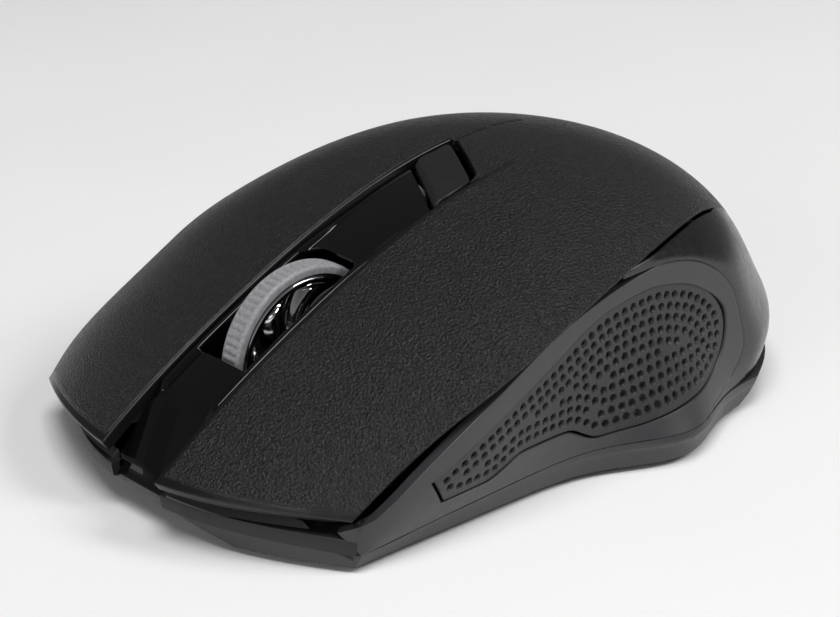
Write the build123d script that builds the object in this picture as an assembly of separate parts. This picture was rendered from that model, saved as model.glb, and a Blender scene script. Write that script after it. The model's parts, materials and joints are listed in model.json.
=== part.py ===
"""Wireless computer mouse.

Millimetres. +Z is up, +Y runs from the tail to the buttons, and the thumb side is at -X.
The origin is on the table under the middle of the body.
"""
from build123d import *
import os
import numpy as np

# Overall size, and the size at which the free-form outlines below are drawn
body_length = 107.0
body_width = 72.0
body_height = 36.6
drawn_length = 107.0
drawn_width = 72.0
drawn_height = 36.6

# Walls and gaps
floor_bottom = 0.9
floor_wall = 1.6
shell_wall = 1.8
case_wall = 2.0
part_gap = 0.3
side_gap = 1.9
lip_gap = 1.2
tail_gap = 0.3

# Centre spine and main buttons
spine_half = 5.8
spine_sink = 1.0
spine_wall = 1.6
button_gap = 0.35
button_root = -8.0
button_flange = 4.4
flange_wall = 1.2
plunger_gap = 0.25

# Mode button
mode_length = 6.85
mode_middle = -0.5
mode_slant = -0.57
mode_travel = 0.5
mode_thickness = 1.9
mode_front_gap = 0.6
mode_rear_gap = 1.3

# Wheel
tyre_radius = 12.7
tyre_inner = 10.4
tyre_width = 3.5
wheel_front = 37.3
wheel_travel = 0.5
wheel_clearance = 0.5
well_floor = 0.8
slot_half = 4.9
axle_radius = 1.25
bore_clearance = 0.05
fin_count = 9

# Board and what stands on it
board_lift = 3.0
board_wall = 1.6
switch_size = (5.8, 12.8, 6.5)
switch_x = 17.0 * body_width / drawn_width
switch_y = 30.0
plunger_offset = 3.0
plunger_height = 0.8
small_switch = (4.5, 4.5, 3.8)
cap_height = 0.5
mode_switch_x = 4.0

# Battery (AA) and its bay
battery_radius = 7.1
battery_length = 50.5
battery_x = 15.5 * body_width / drawn_width
battery_rear = -37.0
contact_depth = 3.0
door_margin = 1.0
door_gap = 0.2

# USB receiver
receiver_cap_size = (14.5, 7.0, 6.2)
receiver_plug_size = (12.0, 11.6, 4.5)
receiver_x = -15.5 * body_width / drawn_width
receiver_y = -28.0
receiver_gap = 0.25
pocket_wall = 1.2

# Screws
case_screw_radius = 1.0
case_head_radius = 2.0
case_head_height = 1.3
case_screw_length = 9.0
boss_radius = 2.9
post_radius = 2.2
boss_height = 3.5
board_screw_radius = 0.9
board_head_radius = 1.8
board_boss_radius = 2.4

# Sensor and power switch
sensor_x = -5.0
sensor_y = 3.0
slider_x = -16.0 * body_width / drawn_width
slider_y = 16.0
slider_travel = 3.0

# Heights and places that follow from the values above
floor_top = floor_bottom + floor_wall
board_bottom = floor_top + board_lift
middle_switch_x = -11.6
board_top = board_bottom + board_wall
wheel_y = wheel_front - tyre_radius
wheel_z = floor_bottom + well_floor + wheel_clearance + wheel_travel + tyre_radius
carrier_inner = spine_half + 0.5
carrier_wall = 1.3
battery_z = floor_top + part_gap + battery_radius
battery_front = battery_rear + battery_length
side_screw_x = battery_x + battery_radius + door_margin + boss_radius + 0.1
switch_top = board_top + switch_size[2]
wide = 2.2 * body_width
reach = 90.0
top_limit = 60.0


def along(y):
    """Place along the body, for a y drawn at the drawn length."""
    return y * body_length / drawn_length


def across(x):
    """Place across the body, for an x drawn at the drawn width."""
    return x * body_width / drawn_width


def upward(z):
    """Height, for a z drawn at the drawn height."""
    return z * body_height / drawn_height


def cubic(knots, values, at):
    """Natural cubic spline through values at knots; values may be numbers or points."""
    knots = np.asarray(knots, float)
    values = np.asarray(values, float)
    step = np.diff(knots)
    size = len(knots)
    matrix = np.eye(size)
    right = np.zeros_like(values)
    for i in range(1, size - 1):
        matrix[i, i - 1:i + 2] = step[i - 1], 2 * (step[i - 1] + step[i]), step[i]
        rise = (values[i + 1] - values[i]) / step[i]
        fall = (values[i] - values[i - 1]) / step[i - 1]
        right[i] = 6 * (rise - fall)
    bend = np.linalg.solve(matrix, right)
    i = min(max(int(np.searchsorted(knots, at)) - 1, 0), size - 2)
    t, h = at - knots[i], step[i]
    slope = (values[i + 1] - values[i]) / h - h * (2 * bend[i] + bend[i + 1]) / 6
    return values[i] + t * slope + t ** 2 * bend[i] / 2 + t ** 3 * (bend[i + 1] - bend[i]) / (6 * h)


mode_switch_y = along(mode_middle + mode_slant * mode_switch_x)


# ---------------------------------------------------------------- master surfaces

# Centre line of the body from nose to tail, as (y, z)
crown = [
    (58.5, 5.4), (54.4, 8.6), (30, 23.5), (12, 31.5), (-6, 36.2),
    (-24, 36.0), (-38.6, 29.8), (-49.4, 16.6), (-52.8, 10.2), (-49.6, 0.4),
]
crown_steps = np.hypot(*np.diff(np.array(crown), axis=0).T)
crown_knots = np.append(0.0, np.cumsum(crown_steps)) / crown_steps.sum()

# Fall of the skin from the centre line: square and sixth-power shares at five stations,
# and the direction of the fall, in degrees from straight down towards the front of the tail
fall_knots = [0.03, 0.27, 0.52, 0.76, 1.0]
fall_square = [9.6, 4.7, 4.4, 9.3, 16.3]
fall_sixth = [2.2, 0.5, 2.3, 3.5, 4.5]
fall_turn_knots = [0.0, 0.14, 0.29, 0.5, 0.64, 0.714, 0.786, 0.857, 0.93, 1.0]
fall_turn = [-37, -30, -23, -8, 14, 36, 60, 76, 86, 90]
fall_reach = 30.0
fall_limit = 30.0
skin_half = 36.7
right_lift = 0.31
right_spread = 2.5

# Seam between the top shell and the lower body, seen from the side, as (y, z)
seam = [
    (60, -9), (52, -1.5), (43, 5.9), (30.5, 15.1), (13.3, 23.6), (-7.2, 28.9),
    (-20, 30.0), (-32, 27.9), (-41, 22.8), (-50, 16.2), (-62, 7),
]

# Rear edge of the side panel, and outline of the grip, seen from the side, as (y, z)
panel_rear = [
    (-4.3, 27.3), (-14.2, 27.2), (-20.6, 25.1), (-26.0, 20.1), (-28.4, 14.0),
    (-29.0, 10.6), (-26.5, 7.0), (-21.5, 5.3), (-15.5, 4.6),
]
grip_top = [
    (30.5, 10.3), (16.9, 16.5), (7.3, 20.1), (-0.2, 23.3), (-5.6, 24.3),
    (-11.0, 24.6), (-15.0, 23.9), (-19.2, 22.3), (-22.2, 20.0), (-24.1, 17.4),
    (-24.6, 14.1), (-22.9, 10.6), (-19.1, 8.6), (-14.9, 8.1), (-6.1, 6.9),
]
grip_bottom = [(0.7, 6.2), (4.7, 8.5), (14.6, 8.7), (19.2, 6.4), (28.0, 6.3), (30.5, 10.3)]
grip_depth = 1.2

# Nose lines: y = front - sweep * x squared
left_nose = (54.8, 0.0155)
right_nose = (53.6, 0.0095)
case_nose_low = (51.5, 0.0118)
case_nose_high = (53.6, 0.0142)
case_nose_height = 9.0

# Scoop under the nose: where it starts, and how it climbs forward and away from the thumb side
scoop_y = 42.6
scoop_slope = 0.39
scoop_x = -15.5
scoop_climb = 0.31


def ease(low, high, value):
    """Smooth step from 0 at low to 1 at high."""
    share = min(max((value - low) / (high - low), 0.0), 1.0)
    return share * share * (3 - 2 * share)


def crown_skin(t, x, depth):
    """Point of the skin at share t of the centre line and x across, sunk by depth.

    At +X the front falls less, because the nose is fuller on that side."""
    centre = cubic(crown_knots, crown, t)
    turn = np.radians(cubic(fall_turn_knots, fall_turn, t))
    inward = np.array([np.sin(turn), -np.cos(turn)])
    share = abs(x) / fall_reach
    square = cubic(fall_knots, fall_square, t)
    sixth = cubic(fall_knots, fall_sixth, t)
    tilt = (2 * square * share + 6 * sixth * share ** 5) / fall_reach
    fall = square * share ** 2 + sixth * share ** 6
    if x > 0:
        fall = fall * (1 - right_lift * (1 - ease(0.12, 0.30, t)))
    fall = fall / (1 + (fall / fall_limit) ** 8) ** (1 / 8) + depth * min(np.hypot(1, tilt), 2.0)
    y, z = centre + inward * fall
    return across(x), along(y), upward(z)


def seam_height(y):
    return cubic([-p[0] for p in seam], [p[1] for p in seam], -y)


def ridge_height(y):
    """Seam between the side panel and the bottom case, as drawn."""
    return 2.55 + 2.15 * min(max((41 - y) / 47, 0.0), 1.0) ** 0.8


def side_skin(z, y, depth, side):
    """Point of a side surface at drawn height z and place y, sunk by depth. side is -1 or 1."""
    foot = 29.7 + 6.0 * np.exp(-((y + 12.5) / 10.5) ** 2)
    top = 31.0 + 2.3 * np.exp(-((y - 23) / 15) ** 2) - 3.2 * (max(y - 34, 0.0) / 10) ** 2
    ridge = ridge_height(y)
    lean = 0.8 * min((z - floor_bottom) / (ridge - floor_bottom), 1.0)
    rise = min(max((z - ridge) / max(seam_height(y) - ridge, 3.0), 0.0), 1.0)
    x = foot + lean if z < ridge else top - (top - foot - 0.8) * (1 - rise) ** 2.8
    if side > 0:
        x = x + right_spread * ease(26, 43, y)
    return side * (across(x) - depth), along(y), upward(z)


def slab(z_low, z_high):
    return Pos(0, 0, (z_low + z_high) / 2) * Box(wide, 3 * body_length, z_high - z_low)


def block(low, high):
    """Box from its low corner to its high corner."""
    size = [high[i] - low[i] for i in range(3)]
    middle = [(high[i] + low[i]) / 2 for i in range(3)]
    return Pos(*middle) * Box(*size)


def upright(x, y, z_low, z_high, radius):
    return Pos(x, y, (z_low + z_high) / 2) * Cylinder(radius, z_high - z_low)


def crosswise(x_low, x_high, y, z, radius):
    """Cylinder along X."""
    return Pos((x_low + x_high) / 2, y, z) * Rot(0, 90, 0) * Cylinder(radius, x_high - x_low)


def under_skin(depth):
    """Everything below the outer skin sunk by depth, lofted across the body."""
    sections = []
    for x in np.linspace(-skin_half, skin_half, 17):
        points = [crown_skin(t, x, depth) for t in np.linspace(0.0, 1.0, 15)]
        line = Edge.make_spline([Vector(*point) for point in points])
        nose, tail = line @ 0, line @ 1
        corners = tail, Vector(tail.X, tail.Y, -reach), Vector(nose.X, nose.Y, -reach), nose
        rest = [Edge.make_line(corners[i], corners[i + 1]) for i in range(3)]
        sections.append(Wire([line, *rest]))
    return Solid.make_loft(sections)


def between_sides(depth):
    """Everything between the two side surfaces sunk by depth, lofted upward."""
    sections = []
    for z in (-2.0, 0.0, 1.5, 3.0, 4.7, 6.5, 9.0, 12.0, 16.0, 21.0, 26.0, 31.0, 36.0, 41.0):
        right, left = [
            Edge.make_spline([Vector(*side_skin(z, y, depth, side)) for y in np.linspace(-62, 62, 21)])
            for side in (1, -1)
        ]
        ends = Edge.make_line(left @ 0, right @ 0), Edge.make_line(right @ 1, left @ 1)
        sections.append(Wire([right, ends[1], left, ends[0]]))
    return Solid.make_loft(sections)


def nose_outline(nose, inset=0.0):
    """Plan outline bounded in front by a swept nose line, as a wire."""
    front, sweep = along(nose[0]) - inset, nose[1]
    half = across(38.0)
    corner = front - along(sweep * 38.0 ** 2)
    tip = front + along(sweep * 38.0 ** 2)
    back = -body_length
    line = Bezier((-half, corner), (0, tip), (half, corner))
    return line + Polyline((half, corner), (half, back), (-half, back), (-half, corner))


def behind_nose(nose):
    return Pos(0, 0, -5) * extrude(make_face(nose_outline(nose)), amount=60)


def behind_case_nose(inset):
    """Everything behind the leaning front wall of the case."""
    share = top_limit / case_nose_height
    high = [low + share * (high - low) for low, high in zip(case_nose_low, case_nose_high)]
    low_plan = make_face(nose_outline(case_nose_low, inset))
    high_plan = make_face(nose_outline(high, inset))
    return loft([low_plan, Pos(0, 0, upward(top_limit)) * high_plan], ruled=True)


def drawn(points):
    return [(along(y), upward(z)) for y, z in points]


def below_seam(shift):
    """Everything below the shell seam moved down by shift, as a prism across the body."""
    line = Spline(*[(y, z - shift) for y, z in drawn(seam)])
    ends = line @ 0, line @ 1
    rest = Polyline(ends[0], (ends[0].X, -40), (ends[1].X, -40), ends[1])
    return extrude(Plane.YZ * make_face(line + rest), amount=wide / 2, both=True)


def below_ridge():
    """Everything below the line between the side panels and the bottom case."""
    line = Spline(*drawn([(y, ridge_height(y)) for y in (41.2, 31, 20, 8, -6, -15)]))
    front = drawn([(43.6, 4.9), (44.3, 7.4)])
    rear = drawn([(-62, ridge_height(-15))])
    rest = Polyline(line @ 1, *rear, (along(-62), -40), (along(62), -40), (along(62), upward(7.4)),
                    front[1], front[0], line @ 0)
    return extrude(Plane.YZ * make_face(line + rest), amount=wide / 2, both=True)


def panel_region():
    """Side view region of a side panel, above the ridge line, as a prism at -X."""
    rear = Spline(*drawn(panel_rear))
    foot = Line(rear @ 1, (along(-15.5), -20))
    rest = Polyline(foot @ 1, (along(60), -20), (along(60), upward(40)), (along(-4.3), upward(40)), rear @ 0)
    region = extrude(Plane.YZ * make_face(rear + foot + rest), amount=-wide / 2)
    return region & block((-wide, -body_length, -30), (-across(14), body_length, 60))


def grip_region():
    upper = Spline(*drawn(grip_top))
    lower = Polyline(*drawn([grip_top[-1]] + grip_bottom))
    return extrude(Plane.YZ * make_face(upper + lower), amount=-wide / 2)


# ---------------------------------------------------------------- shells

def top_skin(under):
    """The top skin as one sheet: top shell and both buttons before they are parted."""
    return under(0) - under(shell_wall) - below_seam(0)


def mode_outline(front_gap, rear_gap, half, z_low=5.0, z_high=60.0):
    """Slanted prism round the mode button."""
    front = mode_middle + mode_length / 2 + front_gap
    rear = mode_middle - mode_length / 2 - rear_gap
    lean = mode_slant * half
    corners = [(half, front + lean), (-half, front - lean), (-half, rear - lean), (half, rear + lean)]
    plan = make_face(Polyline(*[(x, along(y)) for x, y in corners], close=True))
    return Pos(0, 0, z_low) * extrude(plan, amount=z_high - z_low)


def make_top_shell(sheet, posts):
    root = along(button_root)
    back = block((-wide, -body_length, 0), (wide, root, 60))
    middle = block((-spine_half, root - 1, 0), (spine_half, along(mode_middle), 60))
    shell = sheet & (back + middle)
    hole = mode_outline(mode_length, mode_rear_gap, spine_half + 0.4)
    slit = block((spine_half - 0.1, root - 13, 0), (spine_half + 0.3, root + 1, 60))
    shell = shell - hole - slit
    for post in posts:
        shell = shell + post
    return shell


def shell_post(x, y, under):
    """Screw post hanging from the shell down onto its boss in the bottom case."""
    top = boss_top()
    post = upright(x, y, top, 60, post_radius) & under(shell_wall / 2)
    post = post - (below_seam(0) - under(case_wall + part_gap))
    pilot = upright(x, y, top - 1, top + case_screw_length, case_screw_radius + bore_clearance)
    return post - pilot


def boss_top():
    return floor_top + boss_height


def screw_places():
    return [
        (-side_screw_x, along(-12.0)),
        (side_screw_x, along(-12.0)),
        (across(-3.0), along(-38.5)),
    ]


def make_button(side, sheet, under):
    """Main button at side -1 or 1: skin, inner flange and the peg over its switch."""
    inner = spine_half + button_gap
    nose = behind_nose(left_nose if side < 0 else right_nose)

    def zone(x_low, x_high, y_low, y_high, z_low):
        x_ends = sorted((side * x_low, side * x_high))
        return block((x_ends[0], y_low, z_low), (x_ends[1], y_high, 60))

    skin = sheet & nose & zone(inner, wide, along(button_root) + part_gap, body_length, -20)
    rib = under(shell_wall / 2) - under(button_flange)
    flange = rib & zone(inner, inner + flange_wall, along(40.4), along(48), 0)
    peg_y = switch_y + plunger_offset
    peg_low = switch_top + plunger_height + plunger_gap
    peg = zone(switch_x - 1.5, switch_x + 1.5, peg_y - 1.5, peg_y + 1.5, peg_low) & under(shell_wall / 2)
    return skin + flange + peg


def make_spine(under):
    """Glossy strip, wheel surround, deck and chin, with a carrier plate under the shell."""
    fold_y, fold_z = along(43.7), upward(14.6)
    lip_y = along(52.0)
    half = spine_half
    strip_rear = mode_outline(mode_front_gap, 2 * body_length, half + 1)
    strip = (under(spine_sink) - under(spine_sink + spine_wall)) & block((-half, -20, 0), (half, fold_y, 60))
    strip = strip - strip_rear
    slot_rear = wheel_y - tyre_radius + 5.0
    slot_front = wheel_y + tyre_radius + 1.0
    strip = strip - block((-slot_half, slot_rear, 0), (slot_half, slot_front, 60))
    rails = (under(0.4) - under(4.0)) & block((-half, slot_rear, 0), (half, fold_y, 60))
    rails = rails - block((-slot_half, slot_rear - 1, 0), (slot_half, body_length, 60))
    foot = floor_top
    chin = Polyline(
        (slot_front, upward(17.0)), (slot_front, upward(15.4)), (along(42.6), upward(13.0)),
        (lip_y - 1.9, upward(4.4)), (lip_y - 1.9, foot), (lip_y - 0.3, foot),
        (lip_y, upward(4.6)), (fold_y, fold_z), close=True)
    face = extrude(Plane.YZ * make_face(chin), amount=half, both=True)
    plate = (under(3.0) - under(4.4)) & block((-half - 2.6, along(-22), 0), (half + 2.6, along(14), 60))
    bridge = (under(spine_sink + 0.5) - under(3.6)) & block((-half, along(8.5), 0), (half, along(13.5), 60))
    pads = under(shell_wall + bore_clearance) - under(3.6)
    pads = pads & block((-half, along(-22), 0), (half, along(-14), 60))
    stem = mode_stem(0.5)
    return strip + rails + face + (plate + bridge + pads - stem)


def mode_stem(gap):
    """Stem of the mode button, grown by gap all round."""
    x, y = mode_switch_x, mode_switch_y
    low = board_top + small_switch[2] + cap_height + mode_travel + 0.1
    return block((x - 1.5 - gap, y - 1.5 - gap, low), (x + 1.5 + gap, y + 1.5 + gap, 60))


def make_mode_button(under):
    cap = (under(0.1) - under(mode_thickness)) & mode_outline(0, 0, spine_half - 0.25)
    return cap + (mode_stem(0) & under(mode_thickness / 2))


def nose_scoop(rise):
    """Room under the nose: below a slope that climbs forward and one that climbs from the thumb side."""
    low = floor_bottom + rise
    front = Polyline((along(scoop_y), low), (along(scoop_y + 20), low + 20 * scoop_slope),
                     (along(scoop_y + 20), low - 20), (along(scoop_y), low - 20), close=True)
    side = Polyline((across(scoop_x), low), (across(scoop_x + 80), low + 80 * scoop_climb),
                    (across(scoop_x + 80), low - 20), (across(scoop_x), low - 20), close=True)
    below_front = extrude(Plane.YZ * make_face(front), amount=wide / 2, both=True)
    return below_front & extrude(Plane.XZ * make_face(side), amount=body_length, both=True)


def lower_shell(under, sides):
    """Hollow lower body: outer skin less its inside, above the floor."""
    outer = under(0) & sides(0) & behind_case_nose(0) - nose_scoop(0)
    inner = under(case_wall) & sides(case_wall) & behind_case_nose(case_wall) - nose_scoop(floor_wall)
    room = inner & slab(floor_top, 60)
    return (outer & slab(floor_bottom, 60)) - room, inner


def make_tail(shell):
    tail = shell & below_seam(tail_gap) - below_ridge()
    region = panel_region()
    tail = tail - region - mirror(region, about=Plane.YZ)
    return tail & block((-wide, -body_length, 0), (wide, along(-4.3), 60))


def make_panel(side, shell, sides):
    """Side panel and its grip inlay at side -1 or 1."""
    region, inlay = panel_region(), grip_region()
    if side > 0:
        region, inlay = mirror(region, about=Plane.YZ), mirror(inlay, about=Plane.YZ)
    panel = shell & below_seam(upward(side_gap)) & region - below_ridge()
    grip = panel & inlay - sides(grip_depth)
    return panel - grip, grip


# ---------------------------------------------------------------- bottom case

def battery_hole(gap):
    """Door opening in the floor, less gap all round."""
    x_half = battery_radius + door_margin - gap
    low = (battery_x - x_half, battery_rear - 1 + gap, floor_bottom - 1)
    high = (battery_x + x_half, battery_front - 1 - gap, floor_top + 1)
    return block(low, high)


def receiver_box(gap, z_high):
    size = receiver_cap_size[1] + receiver_plug_size[1]
    half = receiver_cap_size[0] / 2 + gap
    low = (receiver_x - half, receiver_y - size / 2 - gap, floor_bottom - 1)
    return block(low, (receiver_x + half, receiver_y + size / 2 + gap, z_high))


def board_bosses():
    return [(across(-19), along(39.8)), (across(19), along(39.8)), (across(-18), -10.0), (across(20), 19.0)]


def make_bottom_case(shell, inner, under):
    case = shell & below_ridge()
    front = block((-wide, along(41.2), -5), (wide, body_length, 60))
    case = (case & front & under(shell_wall + lip_gap)) + ((case - front) & below_seam(upward(side_gap)))
    centre_cut = block((-spine_half - part_gap, along(40), floor_top), (spine_half + part_gap, 80, 60))
    case = case - centre_cut
    pocket_top = floor_bottom + 0.2 + receiver_cap_size[2] + receiver_gap
    pocket = receiver_box(receiver_gap + pocket_wall, pocket_top + pocket_wall)
    case = case + (pocket & slab(floor_bottom + floor_wall / 2, 60) & inner)
    case = case - receiver_box(receiver_gap, pocket_top)
    case = case - battery_hole(0)
    for y_low in (battery_rear - contact_depth - 1.2, battery_front + 0.6):
        x_low = battery_x - battery_radius + 0.6
        wall = block((x_low, y_low, floor_bottom + 0.5), (battery_x + 4.5, y_low + 1.2, 15.0))
        case = case + (wall & inner)
    well = block((-3.6, wheel_y - 9, floor_bottom + well_floor), (3.6, wheel_y + 9, floor_top + 1))
    case = case - well
    for x, y in screw_places():
        boss = upright(x, y, floor_bottom, boss_top(), boss_radius)
        case = case + (boss & (inner + slab(-5, floor_top)))
        case = case - upright(x, y, -1, floor_bottom + 2.3, case_head_radius + 0.2)
        case = case - upright(x, y, -1, boss_top() + 1, case_screw_radius + 0.2)
    for x, y in board_bosses():
        case = case + upright(x, y, floor_bottom + 0.5, board_bottom, board_boss_radius)
        case = case - upright(x, y, floor_top, board_bottom + 1, board_screw_radius + bore_clearance)
    for side in (-1, 1):
        x = side * (carrier_inner + carrier_wall + 0.2 + 0.6)
        guide = block((x - 0.6, 32, floor_bottom + 0.5), (x + 0.6, 35.5, 13.0))
        case = case + guide
    case = case - block((sensor_x - 2.5, sensor_y - 4, 0), (sensor_x + 2.5, sensor_y + 4, floor_top + 1))
    case = case - block((slider_x - 1.6, slider_y - 4.2, 0), (slider_x + 1.6, slider_y + 4.2, floor_top + 1))
    return case


def make_door():
    door = battery_hole(door_gap) & slab(floor_bottom, floor_top)
    grip = Pos(battery_x, battery_front - 7, floor_bottom) * Box(8, 3, 1.0)
    return door - grip


# ---------------------------------------------------------------- inside

def make_board():
    front = block((across(-23), 10.6, board_bottom), (across(23), along(42.0), board_top))
    tongue = block((across(-22), -13.5, board_bottom), (battery_x - battery_radius - 1.6, 12, board_top))
    bay = block((battery_x - battery_radius - 1.2, 0, 0), (60, battery_front + 2.4, 60))
    half = carrier_inner + carrier_wall + 0.2 + 1.2 + 0.3
    slot = block((-half, wheel_y - tyre_radius - 1, 0), (half, wheel_y + tyre_radius + 1.2, 60))
    board = front + tongue - bay - slot
    for x, y in board_bosses():
        board = board - upright(x, y, 0, 60, board_screw_radius + 0.2)
    return board - upright(sensor_x, sensor_y, 0, 60, 2.5)


def make_tyre():
    y, z = wheel_y, wheel_z
    ring = crosswise(-tyre_width / 2, tyre_width / 2, y, z, tyre_radius)
    ring = chamfer(ring.edges(), 0.4)
    return ring - crosswise(-5, 5, y, z, tyre_inner)


def make_hub():
    """Rim, thin web, boss and swirl fins on both sides, with the axle in one piece."""
    y, z = wheel_y, wheel_z
    rim = crosswise(-tyre_width / 2, tyre_width / 2, y, z, tyre_inner)
    rim = rim - crosswise(-5, 5, y, z, tyre_inner - 1.3)
    web = crosswise(-0.5, 0.5, y, z, tyre_inner - 0.5)
    boss = crosswise(-4.2, 4.2, y, z, 2.6)
    axle = crosswise(-carrier_inner - 2.2, carrier_inner + 5.4, y, z, axle_radius)
    hub = rim + web + boss + axle
    for i in range(fin_count):
        turn = Rot(360 / fin_count * i, 0, 0)
        blade = Pos(0, 0, 5.6) * Rot(28, 0, 0) * Box(tyre_width - 0.6, 0.7, 7.6)
        hub = hub + Pos(0, y, z) * turn * blade
    return hub & crosswise(-20, 20, y, z, tyre_inner)


def make_carrier():
    """Frame with a bearing plate each side of the wheel and a foot over the middle switch."""
    inner, outer = carrier_inner, carrier_inner + carrier_wall
    bar = wheel_front + 0.8
    frame = block((-outer, wheel_y - 3, 9.5), (outer, bar + 1.2, 12.0))
    frame = frame - block((-inner, 0, 0), (inner, bar, 60))
    for side in (-1, 1):
        x_low, x_high = sorted((side * inner, side * outer))
        frame = frame + block((x_low, wheel_y - 3, 9.5), (x_high, wheel_y + 3, wheel_z + 2.6))
    foot_low = board_top + small_switch[2] + cap_height + wheel_travel + 0.4
    foot = block((-13.6, wheel_y - 1.6, foot_low), (-inner - 0.1, wheel_y + 1.6, foot_low + 1.5))
    frame = frame + foot
    return frame - crosswise(-20, 20, wheel_y, wheel_z, axle_radius + bore_clearance)


def make_encoder():
    x_low = carrier_inner + carrier_wall + 2.0
    body = block((x_low, wheel_y - 5.5, board_top), (x_low + 4.0, wheel_y + 5.5, wheel_z + 4.0))
    slot_half_width = axle_radius + 0.3
    low = wheel_z - wheel_travel - slot_half_width
    slot = block((0, wheel_y - slot_half_width, low),
                 (40, wheel_y + slot_half_width, wheel_z + slot_half_width))
    return body - slot


def make_switch(side):
    x, y = side * switch_x, switch_y
    wide_x, long_y, high_z = switch_size
    low = (x - wide_x / 2, y - long_y / 2, board_top)
    body = block(low, (x + wide_x / 2, y + long_y / 2, board_top + high_z))
    py = y + plunger_offset
    hole = block((x - 0.75, py - 1.35, switch_top - 1.5), (x + 0.75, py + 1.35, switch_top + 1))
    return body - hole


def make_plunger(side):
    x, y = side * switch_x, switch_y + plunger_offset
    return block((x - 0.6, y - 1.2, switch_top - 1.0), (x + 0.6, y + 1.2, switch_top + plunger_height))


def make_small_switch(x, y):
    wide_x, long_y, high_z = small_switch
    low = (x - wide_x / 2, y - long_y / 2, board_top)
    body = block(low, (x + wide_x / 2, y + long_y / 2, board_top + high_z))
    return body + upright(x, y, board_top + high_z, board_top + high_z + cap_height, 1.3)


def make_battery():
    y_low, y_high = battery_rear, battery_front
    can = Pos(battery_x, (y_low + y_high - 1) / 2, battery_z) * Rot(90, 0, 0)
    body = can * Cylinder(battery_radius, y_high - y_low - 1)
    nub = Pos(battery_x, y_high - 0.5, battery_z) * Rot(90, 0, 0) * Cylinder(2.7, 1.0)
    return body + nub


def make_battery_spring():
    cone = Cone(4.5, 2.2, contact_depth)
    return Pos(battery_x, battery_rear - contact_depth / 2, battery_z) * Rot(-90, 0, 0) * cone


def make_battery_tab():
    low = (battery_x - 3.2, battery_front, battery_z - 4)
    return block(low, (battery_x + 3.2, battery_front + 0.6, battery_z + 4))


def make_lens():
    plate = block((sensor_x - 5, sensor_y - 11, floor_top), (sensor_x + 5, sensor_y + 7, floor_top + 1.0))
    barrel = upright(sensor_x, sensor_y, floor_top + 1.0, board_bottom, 2.4)
    prism = block((sensor_x - 2, sensor_y - 10, floor_top + 1), (sensor_x + 2, sensor_y - 5, board_bottom))
    return plate + barrel + prism


def make_sensor():
    low = (sensor_x - 4.6, sensor_y - 5, board_top)
    return block(low, (sensor_x + 4.6, sensor_y + 5, board_top + 2.8))


def make_lamp():
    y = sensor_y - 9.5
    stem = block((sensor_x - 2, y - 2.4, board_top), (sensor_x + 2, y + 0.6, board_top + 5))
    bulb = Pos(sensor_x, y + 1.6, board_top + 2.9) * Rot(90, 0, 0) * Cylinder(1.6, 2.2)
    return stem + bulb


def make_controller():
    low = (-20.5, 1.0, board_top)
    return block(low, (-13.0, 8.5, board_top + 1.1))


def make_crystal():
    return block((-19.5, -5.4, board_top), (-13.5, -2.4, board_top + 2.2))


def make_capacitor():
    return upright(-13.0, -9.0, board_top, board_top + 6.0, 2.2)


def make_slider():
    """Knob of the power switch, at its on end."""
    y = slider_y - slider_travel / 2
    knob = block((slider_x - 1.3, y - 2.2, floor_bottom + 0.3), (slider_x + 1.3, y + 2.2, board_bottom - 2.6))
    return knob - Pos(slider_x, y, floor_bottom + 0.3) * Box(4, 1.0, 0.5)


def make_slider_body():
    low = (slider_x - 2.4, slider_y - 5, board_bottom - 2.6)
    return block(low, (slider_x + 2.4, slider_y + 5, board_bottom))


def make_receiver_cap():
    size_x, size_y, size_z = receiver_cap_size
    y_low = receiver_y + (receiver_plug_size[1] - size_y) / 2
    low = (receiver_x - size_x / 2, y_low, floor_bottom + 0.2)
    cap = block(low, (receiver_x + size_x / 2, y_low + size_y, floor_bottom + 0.2 + size_z))
    return chamfer(cap.edges(), 0.5)


def make_receiver_plug():
    size_x, size_y, size_z = receiver_plug_size
    y_high = receiver_y + (size_y - receiver_cap_size[1]) / 2
    z_low = floor_bottom + 0.2 + (receiver_cap_size[2] - size_z) / 2
    low = (receiver_x - size_x / 2, y_high - size_y, z_low)
    plug = block(low, (receiver_x + size_x / 2, y_high, z_low + size_z))
    mouth = block((low[0] + 0.4, low[1] - 1, z_low + 2.0),
                  (-low[0] + 2 * receiver_x - 0.4, y_high - 2, z_low + 4.1))
    return plug - mouth


def make_foot(y, length, width):
    plan = SlotOverall(length, width)
    return Pos(0, along(y), 0) * extrude(plan, amount=floor_bottom)


def make_case_screws():
    seat = floor_bottom + 2.3
    screws = []
    for x, y in screw_places():
        head = upright(x, y, seat - case_head_height, seat, case_head_radius)
        shank = upright(x, y, seat, seat + case_screw_length, case_screw_radius)
        screws.append(head + shank)
    return Compound(children=screws)


def make_board_screws():
    screws = []
    for x, y in board_bosses()[:3]:
        head = upright(x, y, board_top, board_top + 1.3, board_head_radius)
        shank = upright(x, y, floor_top + 0.5, board_top, board_screw_radius)
        screws.append(head + shank)
    return Compound(children=screws)


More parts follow.
